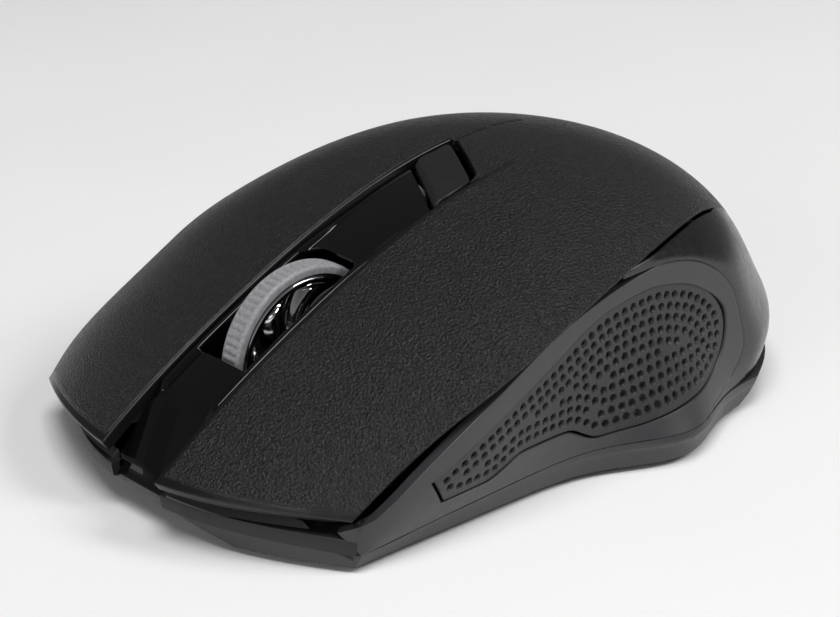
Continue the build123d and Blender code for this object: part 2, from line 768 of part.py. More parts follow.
def build():
    skins, walls = {}, {}

    def under(depth):
        if depth not in skins:
            skins[depth] = under_skin(depth)
        return skins[depth]

    def sides(depth):
        if depth not in walls:
            walls[depth] = between_sides(depth)
        return walls[depth]

    sheet = top_skin(under)
    posts = [shell_post(x, y, under) for x, y in screw_places()]
    shell, inner = lower_shell(under, sides)
    left_panel, left_grip = make_panel(-1, shell, sides)
    right_panel, right_grip = make_panel(1, shell, sides)
    return {
        "top_shell": make_top_shell(sheet, posts),
        "left_button": make_button(-1, sheet, under),
        "right_button": make_button(1, sheet, under),
        "centre_spine": make_spine(under),
        "mode_button": make_mode_button(under),
        "tail_band": make_tail(shell),
        "left_side_panel": left_panel,
        "left_grip": left_grip,
        "right_side_panel": right_panel,
        "right_grip": right_grip,
        "bottom_case": make_bottom_case(shell, inner, under),
        "battery_door": make_door(),
        "front_foot": make_foot(39.7, 26.0, 5.0),
        "rear_foot": make_foot(-41.5, 26.0, 5.0),
        "main_board": make_board(),
        "wheel_tyre": make_tyre(),
        "wheel_hub": make_hub(),
        "wheel_carrier": make_carrier(),
        "scroll_encoder": make_encoder(),
        "left_switch": make_switch(-1),
        "right_switch": make_switch(1),
        "left_plunger": make_plunger(-1),
        "right_plunger": make_plunger(1),
        "middle_switch": make_small_switch(middle_switch_x, wheel_y),
        "mode_switch": make_small_switch(mode_switch_x, mode_switch_y),
        "battery": make_battery(),
        "battery_spring": make_battery_spring(),
        "battery_tab": make_battery_tab(),
        "sensor_lens": make_lens(),
        "sensor_chip": make_sensor(),
        "sensor_lamp": make_lamp(),
        "controller_chip": make_controller(),
        "crystal": make_crystal(),
        "capacitor": make_capacitor(),
        "power_slider": make_slider(),
        "power_switch": make_slider_body(),
        "receiver_cap": make_receiver_cap(),
        "receiver_plug": make_receiver_plug(),
        "case_screws": make_case_screws(),
        "board_screws": make_board_screws(),
    }


os.makedirs("parts", exist_ok=True)
for name, shape in build().items():
    export_step(shape, f"parts/{name}.step")
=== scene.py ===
"""Looks of a wireless computer mouse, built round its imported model.

Shapes are worked out in millimetres in the model's own frame: +Z is up, +Y runs from the tail to
the buttons and the thumb side is at -X. They become metres when a mesh is made.
"""
import json
import math

import bpy
import numpy as np
from mathutils import Matrix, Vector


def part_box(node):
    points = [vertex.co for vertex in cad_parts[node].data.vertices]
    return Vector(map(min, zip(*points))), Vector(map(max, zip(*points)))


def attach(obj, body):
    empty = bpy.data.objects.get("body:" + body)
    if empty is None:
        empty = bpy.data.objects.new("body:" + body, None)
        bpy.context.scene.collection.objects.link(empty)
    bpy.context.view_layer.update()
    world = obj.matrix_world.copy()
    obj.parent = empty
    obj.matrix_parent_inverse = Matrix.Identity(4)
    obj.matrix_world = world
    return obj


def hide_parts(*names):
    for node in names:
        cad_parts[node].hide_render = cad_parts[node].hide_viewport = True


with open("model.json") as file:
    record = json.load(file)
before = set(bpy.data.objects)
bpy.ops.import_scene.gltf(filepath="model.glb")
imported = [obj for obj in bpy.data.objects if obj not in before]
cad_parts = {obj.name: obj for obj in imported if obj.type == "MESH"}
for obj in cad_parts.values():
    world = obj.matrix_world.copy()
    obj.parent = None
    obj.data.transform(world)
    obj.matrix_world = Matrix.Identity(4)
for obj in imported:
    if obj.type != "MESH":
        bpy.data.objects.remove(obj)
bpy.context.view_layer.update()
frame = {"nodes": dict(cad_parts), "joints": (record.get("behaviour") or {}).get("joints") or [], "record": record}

bl_info = {
    "name": "Computer mouse",
    "version": (1, 0, 0),
    "blender": (4, 5, 0),
    "location": "3D View > Sidebar > Mouse",
    "description": "Builds the visible pieces, materials, light and camera of a wireless computer mouse",
    "category": "Add Mesh",
}


# ---------------------------------------------------------------- values from the frame

def box_mm(node):
    """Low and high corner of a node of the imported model, in millimetres."""
    low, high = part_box(node)
    return np.array(low) * 1000, np.array(high) * 1000


def joint_mm(name):
    """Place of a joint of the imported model, in millimetres."""
    found = [joint for joint in frame["joints"] if joint["name"] == name]
    return np.array(found[0]["pos_m"]) * 1000


TYRE_LOW, TYRE_HIGH = box_mm("wheel_tyre")
WHEEL = (TYRE_LOW + TYRE_HIGH) / 2
TYRE_RADIUS = (TYRE_HIGH[2] - TYRE_LOW[2]) / 2
TYRE_HALF = (TYRE_HIGH[0] - TYRE_LOW[0]) / 2
ROOT_Y = joint_mm("left_button_press")[1]
FLOOR_BOTTOM = box_mm("bottom_case")[0][2]


# ---------------------------------------------------------------- sizes and colours

def linear(code):
    """Linear colour of an sRGB hex code, by the sRGB transfer curve."""
    parts = [int(code[i:i + 2], 16) / 255 for i in (1, 3, 5)]
    return tuple(c / 12.92 if c <= 0.04045 else ((c + 0.055) / 1.055) ** 2.4 for c in parts)


def length(name, description, millimetres):
    return bpy.props.FloatProperty(
        name=name, description=description, default=millimetres / 1000, min=0.0, unit="LENGTH")


def colour(name, description, code):
    return bpy.props.FloatVectorProperty(
        name=name, description=description, default=linear(code), size=3, min=0.0, max=1.0, subtype="COLOR")


class MouseSizes(bpy.types.PropertyGroup):
    shell_wall: length("Shell wall", "Thickness of the top shell and the buttons", 1.6)
    edge_roll: length("Edge roll", "Radius of the rolled edges of the shell and the buttons", 0.3)
    lip_width: length("Button lip", "Plain band along the front edge of each button", 1.0)
    spine_sink: length("Spine sink", "How far the glossy strip lies below the skin", 1.0)
    rail_sink: length("Rail sink", "How far the rails beside the wheel lie below the skin", 0.4)
    rib_pitch: length("Rib pitch", "Distance between the ribs of the tyre", 1.1)
    rib_depth: length("Rib depth", "Depth of the grooves between the ribs of the tyre", 0.22)
    grain_size: length("Grain size", "Size of one pebble of the shell's moulded grain", 0.36)


class MouseFinish(bpy.types.PropertyGroup):
    shell: colour("Shell", "Grained black of the shell and the buttons", "#0d0d0e")
    gloss: colour("Gloss", "Polished black of the spine and the tail", "#060607")
    satin: colour("Satin", "Satin grey of the side panels and the lower case", "#333335")
    grip: colour("Grip", "Soft plastic of the thumb grips", "#2a2a2b")
    tyre: colour("Tyre", "Grey rubber of the scroll wheel", "#86868a")
    tyre_dust: colour("Tyre dust", "Paler dust on the rubber of the scroll wheel", "#98989b")


class MouseStage(bpy.types.PropertyGroup):
    floor: colour("Floor", "Pale floor under the mouse", "#f4f4f4")
    azimuth: bpy.props.FloatProperty(
        name="Azimuth", description="Direction from which the camera looks, from the tail",
        default=math.radians(-132.13), subtype="ANGLE")
    elevation: bpy.props.FloatProperty(
        name="Elevation", description="Height of the camera above the horizon",
        default=math.radians(23.0), subtype="ANGLE")
    distance: length("Distance", "From the camera to the middle of the mouse", 361.2)
    lens: bpy.props.FloatProperty(
        name="Lens", description="Focal length on a sensor 36 mm wide", default=111.06, unit="CAMERA")


def sizes(name):
    """A size from the sidebar, in millimetres."""
    return getattr(bpy.context.scene.mouse_sizes, name) * 1000


def finish(name):
    """A colour from the sidebar, with full opacity."""
    return (*getattr(bpy.context.scene.mouse_finish, name), 1.0)


# ---------------------------------------------------------------- curves and the master skin

def natural_spline(knots, values):
    """Natural cubic spline through values at knots, as a function of an array of places.

    Its second derivatives solve the usual tridiagonal system and are zero at both ends."""
    knots = np.asarray(knots, float)
    values = np.asarray(values, float).reshape(len(knots), -1)
    step = np.diff(knots)
    inner = np.arange(1, len(knots) - 1)
    matrix = np.eye(len(knots))
    matrix[inner, inner - 1] = step[:-1]
    matrix[inner, inner] = 2 * (step[:-1] + step[1:])
    matrix[inner, inner + 1] = step[1:]
    right = np.zeros_like(values)
    right[inner] = 6 * np.diff(np.diff(values, axis=0) / step[:, None], axis=0)
    bend = np.linalg.solve(matrix, right)

    def at(place):
        place = np.asarray(place, float)
        i = np.clip(np.searchsorted(knots, place) - 1, 0, len(knots) - 2)
        t = (place - knots[i])[..., None]
        h = step[i][..., None]
        first = (values[i + 1] - values[i]) / h - h * (2 * bend[i] + bend[i + 1]) / 6
        out = values[i] + t * first + t ** 2 * bend[i] / 2 + t ** 3 * (bend[i + 1] - bend[i]) / (6 * h)
        return out if out.shape[-1] > 1 else out[..., 0]

    return at


def solve(function, low, high, steps=34):
    """Root of a function between low and high, by halving, for whole arrays at once."""
    low, high = (np.array(a, float) for a in np.broadcast_arrays(low, high))
    sign = np.sign(function(low))
    for _ in range(steps):
        middle = (low + high) / 2
        same = np.sign(function(middle)) == sign
        low = np.where(same, middle, low)
        high = np.where(same, high, middle)
    return (low + high) / 2


def smoothstep(low, high, value):
    """0 below low, 1 above high, and the cubic 3 s^2 - 2 s^3 of the share s between them."""
    share = np.clip((value - low) / (high - low), 0, 1)
    return share * share * (3 - 2 * share)


def run_along(points):
    """Length of a path from its start to each of its points."""
    return np.append(0, np.cumsum(np.linalg.norm(np.diff(points, axis=0), axis=1)))


# Centre line from nose to tail as (y, z), and how the skin falls from it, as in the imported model
CROWN = np.array([
    (58.5, 5.4), (54.4, 8.6), (30, 23.5), (12, 31.5), (-6, 36.2),
    (-24, 36.0), (-38.6, 29.8), (-49.4, 16.6), (-52.8, 10.2), (-49.6, 0.4),
])
CROWN_STEPS = np.hypot(*np.diff(CROWN, axis=0).T)
crown_line = natural_spline(np.append(0.0, np.cumsum(CROWN_STEPS)) / CROWN_STEPS.sum(), CROWN)
fall_square = natural_spline([0.03, 0.27, 0.52, 0.76, 1.0], [9.6, 4.7, 4.4, 9.3, 16.3])
fall_sixth = natural_spline([0.03, 0.27, 0.52, 0.76, 1.0], [2.2, 0.5, 2.3, 3.5, 4.5])
fall_turn = natural_spline(
    [0.0, 0.14, 0.29, 0.5, 0.64, 0.714, 0.786, 0.857, 0.93, 1.0],
    [-37, -30, -23, -8, 14, 36, 60, 76, 86, 90])
seam_of = natural_spline(
    [-60, -52, -43, -30.5, -13.3, 7.2, 20, 32, 41, 50, 62],
    [-9, -1.5, 5.9, 15.1, 23.6, 28.9, 30.0, 27.9, 22.8, 16.2, 7])
FALL_REACH = 30.0
FALL_LIMIT = 30.0
SKIN_HALF = 36.7
RIGHT_LIFT, RIGHT_SPREAD = 0.31, 2.5
LEFT_NOSE = (54.8, 0.0155)
RIGHT_NOSE = (53.6, 0.0095)
CASE_NOSE_LOW = (51.5, 0.0118)
CASE_NOSE_HIGH = (53.6, 0.0142)
CASE_NOSE_HEIGHT = 9.0
WALL_LEAN = 0.8
CORNER_SLOPE = 0.8


def crown_skin(t, x):
    """Skin point at share t of the centre line and x across.

    The fall from the centre line is a square term plus a sixth-power term in x, softly capped,
    along a direction that turns from straight down on the back to forward at the tail.
    At +X the front falls less, because the nose is fuller on that side."""
    t, x = np.broadcast_arrays(np.asarray(t, float), np.asarray(x, float))
    centre = crown_line(t)
    turn = np.radians(fall_turn(t))
    share = np.abs(x) / FALL_REACH
    fall = fall_square(t) * share ** 2 + fall_sixth(t) * share ** 6
    fall = fall * np.where(x > 0, 1 - RIGHT_LIFT * (1 - smoothstep(0.12, 0.30, t)), 1.0)
    fall = fall / (1 + (fall / FALL_LIMIT) ** 8) ** (1 / 8)
    return np.stack([x, centre[..., 0] + np.sin(turn) * fall, centre[..., 1] - np.cos(turn) * fall], -1)


def seam_height(y):
    """Height of the shell's lower edge at y, a spline over the way back from the middle."""
    return seam_of(-np.asarray(y, float))


def t_at(x, y):
    """Share of the centre line at which the skin passes over the plan point (x, y)."""
    return solve(lambda t: crown_skin(t, x)[..., 1] - y, 0.0, 0.8)


def seam_x(t, side=-1):
    """Half width of the skin at share t on one side: where it meets the seam."""
    def above(x):
        point = crown_skin(t, side * x)
        return point[..., 2] - seam_height(point[..., 1])
    return solve(above, 0.0, SKIN_HALF)


def nose_y(x):
    """Plan line of the buttons' front edge, y = front - sweep * x squared, fuller at +X."""
    x = np.asarray(x, float)
    return np.where(x < 0, LEFT_NOSE[0] - LEFT_NOSE[1] * x ** 2, RIGHT_NOSE[0] - RIGHT_NOSE[1] * x ** 2)


def ridge_height(y):
    """Seam between the side panel and the bottom case: a power of the way back from the nose."""
    return 2.55 + 2.15 * np.clip((41 - np.asarray(y, float)) / 47, 0, 1) ** 0.8


def side_x(y, z, side=-1):
    """Half width of the side wall at y and z: a foot line, a lean to the ridge, then a bulge
    that rises to the top line as one minus a power of the height left to the seam.

    The foot and top lines are straight, with a bell-shaped swelling at the thumb and at the
    button, and the top line falls off as a square towards the nose."""
    y, z = np.broadcast_arrays(np.asarray(y, float), np.asarray(z, float))
    foot = 29.7 + 6.0 * np.exp(-((y + 12.5) / 10.5) ** 2)
    top = 31.0 + 2.3 * np.exp(-((y - 23) / 15) ** 2) - 3.2 * (np.maximum(y - 34, 0.0) / 10) ** 2
    ridge = ridge_height(y)
    lean = WALL_LEAN * np.minimum((z - FLOOR_BOTTOM) / (ridge - FLOOR_BOTTOM), 1.0)
    rise = np.clip((z - ridge) / np.maximum(seam_height(y) - ridge, 3.0), 0, 1)
    x = np.where(z < ridge, foot + lean, top - (top - foot - WALL_LEAN) * (1 - rise) ** 2.8)
    return x + (RIGHT_SPREAD * smoothstep(26, 43, y) if side > 0 else 0.0)


def case_nose_y(x, z):
    """Leaning front wall of the case: y = front - sweep * x squared, both rising with z."""
    share = z / CASE_NOSE_HEIGHT
    front = CASE_NOSE_LOW[0] + share * (CASE_NOSE_HIGH[0] - CASE_NOSE_LOW[0])
    sweep = CASE_NOSE_LOW[1] + share * (CASE_NOSE_HIGH[1] - CASE_NOSE_LOW[1])
    return front - sweep * x ** 2


def side_wall(side):
    """Side surface over (s, z): s is y along the side and runs on round the corner onto the nose."""
    def surface(s, z):
        s, z = np.broadcast_arrays(np.asarray(s, float), np.asarray(z, float))
        corner = solve(lambda y: y - case_nose_y(side_x(y, z, side), z), 30.0, 50.0, 24)
        past = np.maximum(s - corner, 0.0)
        y = np.minimum(s, corner)
        x = side_x(y, z, side) - CORNER_SLOPE * past
        return np.stack([side * x, np.where(past > 0, case_nose_y(x, z), y), z], -1)
    return surface


TAIL_START = 0.56
TAIL_CORNER = 1.6


def tail_line():
    """Lookup of the tail's y over |x| and z, solved once from the crown skin.

    Above the skin's own height there, y grows by four times the height left over."""
    xs, zs = np.linspace(0, 36.5, 74), np.linspace(0.5, 34, 68)
    last_x, last_z = len(xs) - 1, len(zs) - 1
    x, z = np.meshgrid(xs, zs, indexing="ij")
    t = solve(lambda t: crown_skin(t, -x)[..., 2] - z, TAIL_START, 1.0, 30)
    crest = crown_skin(TAIL_START + 0 * x, -x)
    above = z - crest[..., 2]
    table = np.where(above > 0, crest[..., 1] + 4 * above, crown_skin(t, -x)[..., 1])

    def at(x, z):
        """Bilinear reading of the table."""
        i = np.clip(np.abs(x) / xs[-1] * last_x, 0, last_x - 0.001)
        j = np.clip((z - zs[0]) / (zs[-1] - zs[0]) * last_z, 0, last_z - 0.001)
        a, b = i.astype(int), j.astype(int)
        f, g = i - a, j - b
        near = table[a, b] * (1 - g) + table[a, b + 1] * g
        far = table[a + 1, b] * (1 - g) + table[a + 1, b + 1] * g
        return near * (1 - f) + far * f
    return at


POLE_Y = -14.0
tail_y = tail_line()


def tail_wall(turn, z):
    """Wall round the tail over the angle from straight back and the height.

    Radius from the pole (0, POLE_Y) at which the smooth maximum of the excess over the side
    wall and over the tail line is zero: max(a, b) is taken as (a + b + hypot(a - b, k)) / 2,
    where k is TAIL_CORNER."""
    turn, z = np.broadcast_arrays(np.asarray(turn, float), np.asarray(z, float))

    def excess(radius):
        x, y = radius * np.sin(turn), POLE_Y - radius * np.cos(turn)
        over_side = np.abs(x) - side_x(y, z)
        over_tail = tail_y(x, z) - y
        return (over_side + over_tail + np.hypot(over_side - over_tail, TAIL_CORNER)) / 2
    radius = solve(excess, 5.0, 60.0, 26)
    return np.stack([radius * np.sin(turn), POLE_Y - radius * np.cos(turn), z], -1)


def skin_normals(surface, a, b, step_a, step_b):
    """Unit normals of a surface over two parameters, from central differences."""
    along_a = surface(a + step_a, b) - surface(a - step_a, b)
    along_b = surface(a, b + step_b) - surface(a, b - step_b)
    normal = np.cross(along_a, along_b)
    return normal / np.maximum(np.linalg.norm(normal, axis=-1, keepdims=True), 1e-12)


# ---------------------------------------------------------------- sheets, solids and meshes

def spacing(count, span, roll, low, high):
    """Shares from 0 to 1, even in the middle, with extra rows over the rolled edge at each end."""
    edge = np.array([0.0, 0.08, 0.25, 0.5, 0.75, 1.0]) * roll / span
    start = edge if low else edge[:1]
    stop = 1 - edge[::-1] if high else 1 - edge[:1]
    return np.concatenate([start[:-1], np.linspace(start[-1], stop[0], count), stop[1:]])


def coons(sides, u, v):
    """Grid between four boundary curves: opposite pairs are blended and the corners' share taken off.

    sides holds the rear, front, left and right curve, each a function of shares from 0 to 1."""
    rear, front, left, right = sides
    u_row, v_column = u[None, :, None], v[:, None, None]
    corners = ((1 - v_column) * ((1 - u_row) * rear(0.0) + u_row * rear(1.0))
               + v_column * ((1 - u_row) * front(0.0) + u_row * front(1.0)))
    return ((1 - v_column) * rear(u)[None] + v_column * front(u)[None]
            + (1 - u_row) * left(v)[:, None] + u_row * right(v)[:, None] - corners)


def edge_distances(points, rolled):
    """Distance of each grid point to the nearest rolled side, along the grid's own lines."""
    rows = np.linalg.norm(np.diff(points, axis=0), axis=-1)
    columns = np.linalg.norm(np.diff(points, axis=1), axis=-1)
    down = np.concatenate([np.zeros((1, points.shape[1])), np.cumsum(rows, axis=0)])
    over = np.concatenate([np.zeros((points.shape[0], 1)), np.cumsum(columns, axis=1)], axis=1)
    distances = [down, down[-1:] - down, over, over[:, -1:] - over]
    far = np.full(points.shape[:2], 1e3)
    return [d if on else far for d, on in zip(distances, rolled)]


def roll_depth(distance, roll):
    """Depth of a quarter-round edge of radius roll at a distance from the edge."""
    inside = np.clip(roll - distance, 0, roll)
    return roll - np.sqrt(roll ** 2 - inside ** 2)


def grid_quads(rows, columns, start=0):
    """Four-cornered faces of a grid of points numbered row by row from start."""
    index = start + np.arange(rows * columns).reshape(rows, columns)
    return np.stack([index[:-1, :-1], index[:-1, 1:], index[1:, 1:], index[1:, :-1]], -1).reshape(-1, 4)


def outward(points, faces):
    """The faces, turned round where the solid's signed volume is negative."""
    a, b, c, d = (points[faces[:, i]] for i in range(4))
    volume = np.einsum("ij,ij->", a, np.cross(b, c) + np.cross(c, d))
    return faces if volume > 0 else faces[:, ::-1]


def closed_sheet(top, bottom):
    """Solid between two grids of one size, with their borders joined by side faces."""
    rows, columns = top.shape[:2]
    count = rows * columns
    points = np.concatenate([top.reshape(-1, 3), bottom.reshape(-1, 3)])
    index = np.arange(count).reshape(rows, columns)
    ring = np.concatenate([index[0, :-1], index[:-1, -1], index[-1, :0:-1], index[:0:-1, 0]])
    follow = np.roll(ring, -1)
    sides = np.stack([ring, ring + count, follow + count, follow], -1)
    faces = np.concatenate([grid_quads(rows, columns), grid_quads(rows, columns, count)[:, ::-1], sides])
    return points, outward(points, faces)


def closed_tube(rings):
    """Solid torus or ring from a grid whose rows and columns both close on themselves."""
    rows, columns = rings.shape[:2]
    index = np.arange(rows * columns).reshape(rows, columns)
    down, over = np.roll(index, -1, 0), np.roll(index, -1, 1)
    faces = np.stack([index, over, np.roll(down, -1, 1), down], -1).reshape(-1, 4)
    points = rings.reshape(-1, 3)
    return points, outward(points, faces)


SKIN_STEPS = (1e-4, 1e-2)


def skin_sheet(surface, sides, counts, span, rolled, roll, wall, shape=None, steps=SKIN_STEPS, rest=None):
    """Plate of even thickness that follows a surface between four curves, with rolled edges.

    The outer face sinks by the quarter-round of its nearest rolled edge and by shape, if given.
    The inner face stays above the height that rest, if given, has at its y."""
    v = spacing(counts[0], span[0], roll, rolled[0], rolled[1])
    u = spacing(counts[1], span[1], roll, rolled[2], rolled[3])
    place = coons(sides, u, v)
    a, b = place[..., 0], place[..., 1]
    points = surface(a, b)
    normals = skin_normals(surface, a, b, *steps)
    if (normals * (points - np.array([0.0, 0.0, 10.0]))).sum() < 0:
        normals = -normals
    near = edge_distances(points, rolled)
    depth = roll_depth(np.min(near, axis=0), roll)
    if shape is not None:
        depth = depth + shape(points, near)
    top = points - normals * depth[..., None]
    inner = points - normals * wall
    if rest is not None:
        inner[..., 2] = np.minimum(np.maximum(inner[..., 2], rest(inner[..., 1])), top[..., 2] - 0.1)
    return closed_sheet(top, inner)


def make_piece(name, solids, body, slot, replaces=(), plain=None, shown=None, smooth=32.0):
    """Mesh object from solids given as points in millimetres and faces, riding on a body.

    plain gives a share of missing grain at each point, shown the finish where it isn't the
    slot's own, and smooth the angle in degrees past which an edge is sharp."""
    points, faces, start = [], [], 0
    for solid_points, solid_faces in solids:
        points.append(solid_points)
        faces.append(solid_faces + start)
        start += len(solid_points)
    points = np.concatenate(points)
    mesh = bpy.data.meshes.new(name)
    mesh.from_pydata((points / 1000).tolist(), [], np.concatenate(faces).tolist())
    mesh.validate()
    mesh.shade_smooth()
    mesh.set_sharp_from_angle(angle=math.radians(smooth))
    piece = bpy.data.objects.new(name, mesh)
    bpy.context.scene.collection.objects.link(piece)
    mesh.materials.append(FINISHES[shown or slot])
    if plain is not None:
        share = mesh.attributes.new("plain", "FLOAT", "POINT")
        share.data.foreach_set("value", plain(points))
    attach(piece, body)
    if replaces:
        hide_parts(*replaces)
    return piece


# ---------------------------------------------------------------- materials

def add(tree, kind, inputs=None, onward=(), **settings):
    """Adds a node, sets its own values, fills or links its inputs, and links outputs onward."""
    node = tree.nodes.new(kind)
    for key, value in settings.items():
        setattr(node, key, value)
    for key, value in (inputs or {}).items():
        if isinstance(value, bpy.types.NodeSocket):
            tree.links.new(value, node.inputs[key])
        else:
            node.inputs[key].default_value = value
    for key, socket in onward:
        tree.links.new(node.outputs[key], socket)
    return node


def begin(name, base, roughness, metallic=0.0, ior=1.5):
    """A new material with its shader: returns the material, its tree, its shader and object place."""
    material = bpy.data.materials.new(name)
    material.use_nodes = True
    tree = material.node_tree
    tree.nodes.clear()
    shader = add(tree, "ShaderNodeBsdfPrincipled", {
        "Base Color": base, "Roughness": roughness, "Metallic": metallic, "IOR": ior})
    add(tree, "ShaderNodeOutputMaterial", {"Surface": shader.outputs["BSDF"]})
    place = add(tree, "ShaderNodeTexCoord").outputs["Object"]
    return material, tree, shader, place


def per_mm(size):
    """Texture scale at which one cell of a pattern is size millimetres wide."""
    return 1000 / size


def uneven_gloss(surface, size, low, high, start=0.3, stop=0.7, detail=4.0):
    """Roughness that wanders from low to high in patches of the given size in millimetres."""
    _, tree, shader, place = surface
    patches = add(tree, "ShaderNodeTexNoise", {"Vector": place, "Scale": per_mm(size), "Detail": detail})
    add(tree, "ShaderNodeMapRange", {
        "Value": patches.outputs["Fac"], "From Min": start, "From Max": stop,
        "To Min": low, "To Max": high}, [("Result", shader.inputs["Roughness"])], clamp=True)


def moulded_grain(surface, size, depth, strength):
    """Bump of a noise whose cells and depth are given in millimetres."""
    _, tree, shader, place = surface
    cells = add(tree, "ShaderNodeTexNoise", {"Vector": place, "Scale": per_mm(size), "Detail": 2.0})
    add(tree, "ShaderNodeBump", {
        "Height": cells.outputs["Fac"], "Distance": depth / 1000, "Strength": strength},
        [("Normal", shader.inputs["Normal"])])


def grained_abs():
    """ABS moulded in an eroded mould: a pebbled, leather-like grain that glitters at a low angle."""
    surface = begin("grained_abs", finish("shell"), 0.32, ior=1.46)
    material, tree, shader, place = surface
    size = sizes("grain_size")
    pebbles = add(tree, "ShaderNodeTexVoronoi", {
        "Vector": place, "Scale": per_mm(size), "Randomness": 1.0}, feature="SMOOTH_F1")
    fine = add(tree, "ShaderNodeTexNoise", {"Vector": place, "Scale": per_mm(size * 0.6), "Detail": 2.0})
    height = add(tree, "ShaderNodeMath", {
        0: pebbles.outputs["Distance"], 1: 0.9, 2: fine.outputs["Fac"]}, operation="MULTIPLY_ADD")
    plain = add(tree, "ShaderNodeAttribute", attribute_name="plain")
    grained = add(tree, "ShaderNodeMath", {0: 1.0, 1: plain.outputs["Fac"]}, operation="SUBTRACT")
    height = add(tree, "ShaderNodeMath", {0: height.outputs[0], 1: grained.outputs[0]}, operation="MULTIPLY")
    add(tree, "ShaderNodeBump", {"Height": height.outputs[0], "Distance": 0.27 / 1000, "Strength": 1.0},
        [("Normal", shader.inputs["Normal"])])
    uneven_gloss(surface, size * 2.5, 0.28, 0.36, detail=2.0)
    return material


def polished_abs():
    """ABS from a polished mould: deep black, mirror-like, with faint handling haze."""
    surface = begin("polished_abs", finish("gloss"), 0.08, ior=1.54)
    uneven_gloss(surface, 9.0, 0.06, 0.13, start=0.35)
    moulded_grain(surface, 6.0, 0.01, 0.3)
    return surface[0]


def satin_abs():
    """ABS with a very fine spark texture: an even dark grey sheen."""
    surface = begin("satin_abs", finish("satin"), 0.42, ior=1.52)
    uneven_gloss(surface, 1.2, 0.38, 0.46)
    moulded_grain(surface, 0.16, 0.012, 0.6)
    return surface[0]


def soft_grip():
    """Thermoplastic rubber over-moulded on the side: satin, slightly duller than the panel."""
    surface = begin("soft_grip", finish("grip"), 0.46, ior=1.5)
    uneven_gloss(surface, 0.8, 0.42, 0.52)
    moulded_grain(surface, 0.14, 0.012, 0.6)
    return surface[0]


def tyre_rubber():
    """Moulded grey silicone rubber: soft sheen and a little paler dust in random patches."""
    surface = begin("tyre_rubber", finish("tyre"), 0.6, ior=1.43)
    material, tree, shader, place = surface
    patches = add(tree, "ShaderNodeTexNoise", {"Vector": place, "Scale": per_mm(0.5), "Detail": 4.0})
    dusty = add(tree, "ShaderNodeMapRange", {
        "Value": patches.outputs["Fac"], "From Min": 0.35, "From Max": 0.65}, clamp=True)
    # Sockets 6 and 7 are the two colours of a mix of colours, and its output 2 is the colour
    add(tree, "ShaderNodeMix", {
        "Factor": dusty.outputs["Result"], 6: finish("tyre"), 7: finish("tyre_dust")},
        [(2, shader.inputs["Base Color"])], data_type="RGBA")
    moulded_grain(surface, 0.2, 0.01, 0.5)
    return material


def plain_plastic(name, code, roughness, grain=0.2, ior=1.5):
    """Moulded plastic in one colour: faintly uneven gloss and a fine moulded grain."""
    surface = begin(name, (*linear(code), 1.0), roughness, ior=ior)
    uneven_gloss(surface, 1.5, roughness - 0.04, roughness + 0.05)
    moulded_grain(surface, grain, 0.01, 0.5)
    return surface[0]


def metal(name, code, roughness, brush=0.0):
    """Bare or plated metal: brush above zero stretches the noise into drawn lines along Y."""
    material, tree, shader, place = begin(name, (*linear(code), 1.0), roughness, metallic=1.0)
    if brush:
        place = add(tree, "ShaderNodeMapping", {"Vector": place, "Scale": (1.0, brush, 1.0)}).outputs["Vector"]
    uneven_gloss((material, tree, shader, place), 0.6, roughness * 0.8, roughness * 1.3)
    return material


def circuit_laminate():
    """Glass-epoxy board under green lacquer, with the weave just showing."""
    surface = begin("circuit_laminate", (*linear("#0d4a26"), 1.0), 0.3)
    material, tree, shader, place = surface
    add(tree, "ShaderNodeTexBrick", {
        "Vector": place, "Scale": per_mm(4.0), "Color1": (*linear("#0e5a2e"), 1.0),
        "Color2": (*linear("#0a4222"), 1.0), "Mortar": (*linear("#083a1d"), 1.0), "Mortar Size": 0.05},
        [("Color", shader.inputs["Base Color"])])
    moulded_grain(surface, 0.3, 0.01, 0.4)
    return material


def clear_acrylic():
    """Optical acrylic: clear, smooth, with a trace of flow lines."""
    surface = begin("clear_acrylic", (0.9, 0.92, 0.93, 1.0), 0.05, ior=1.49)
    surface[2].inputs["Transmission Weight"].default_value = 0.9
    moulded_grain(surface, 3.0, 0.005, 0.4)
    return surface[0]


def finishes():
    """All materials by the record's slots, and the tail's own as tail_gloss."""
    return {
        "grained_shell": grained_abs(),
        "gloss_black": polished_abs(),
        "satin_grey": satin_abs(),
        "grip_rubber": soft_grip(),
        "tail_gloss": plain_plastic("semi_gloss_abs", "#101011", 0.26, grain=3.0, ior=1.54),
        "case_black": plain_plastic("moulded_abs", "#161617", 0.5),
        "wheel_rubber": tyre_rubber(),
        "wheel_metal": metal("chromed_abs", "#d8d8da", 0.1),
        "foot_plastic": plain_plastic("ptfe_foot", "#3c3c3d", 0.35, ior=1.38),
        "board_laminate": circuit_laminate(),
        "component_black": plain_plastic("moulded_epoxy", "#1a1a1b", 0.55),
        "plunger_white": plain_plastic("acetal_plunger", "#e6e6e2", 0.35, ior=1.48),
        "battery_jacket": metal("filmed_steel_can", "#5a5b60", 0.25, brush=0.1),
        "contact_steel": metal("nickel_plated_steel", "#bcbab4", 0.22, brush=0.2),
        "clear_plastic": clear_acrylic(),
    }


FINISHES = {}


# ---------------------------------------------------------------- top shell and buttons

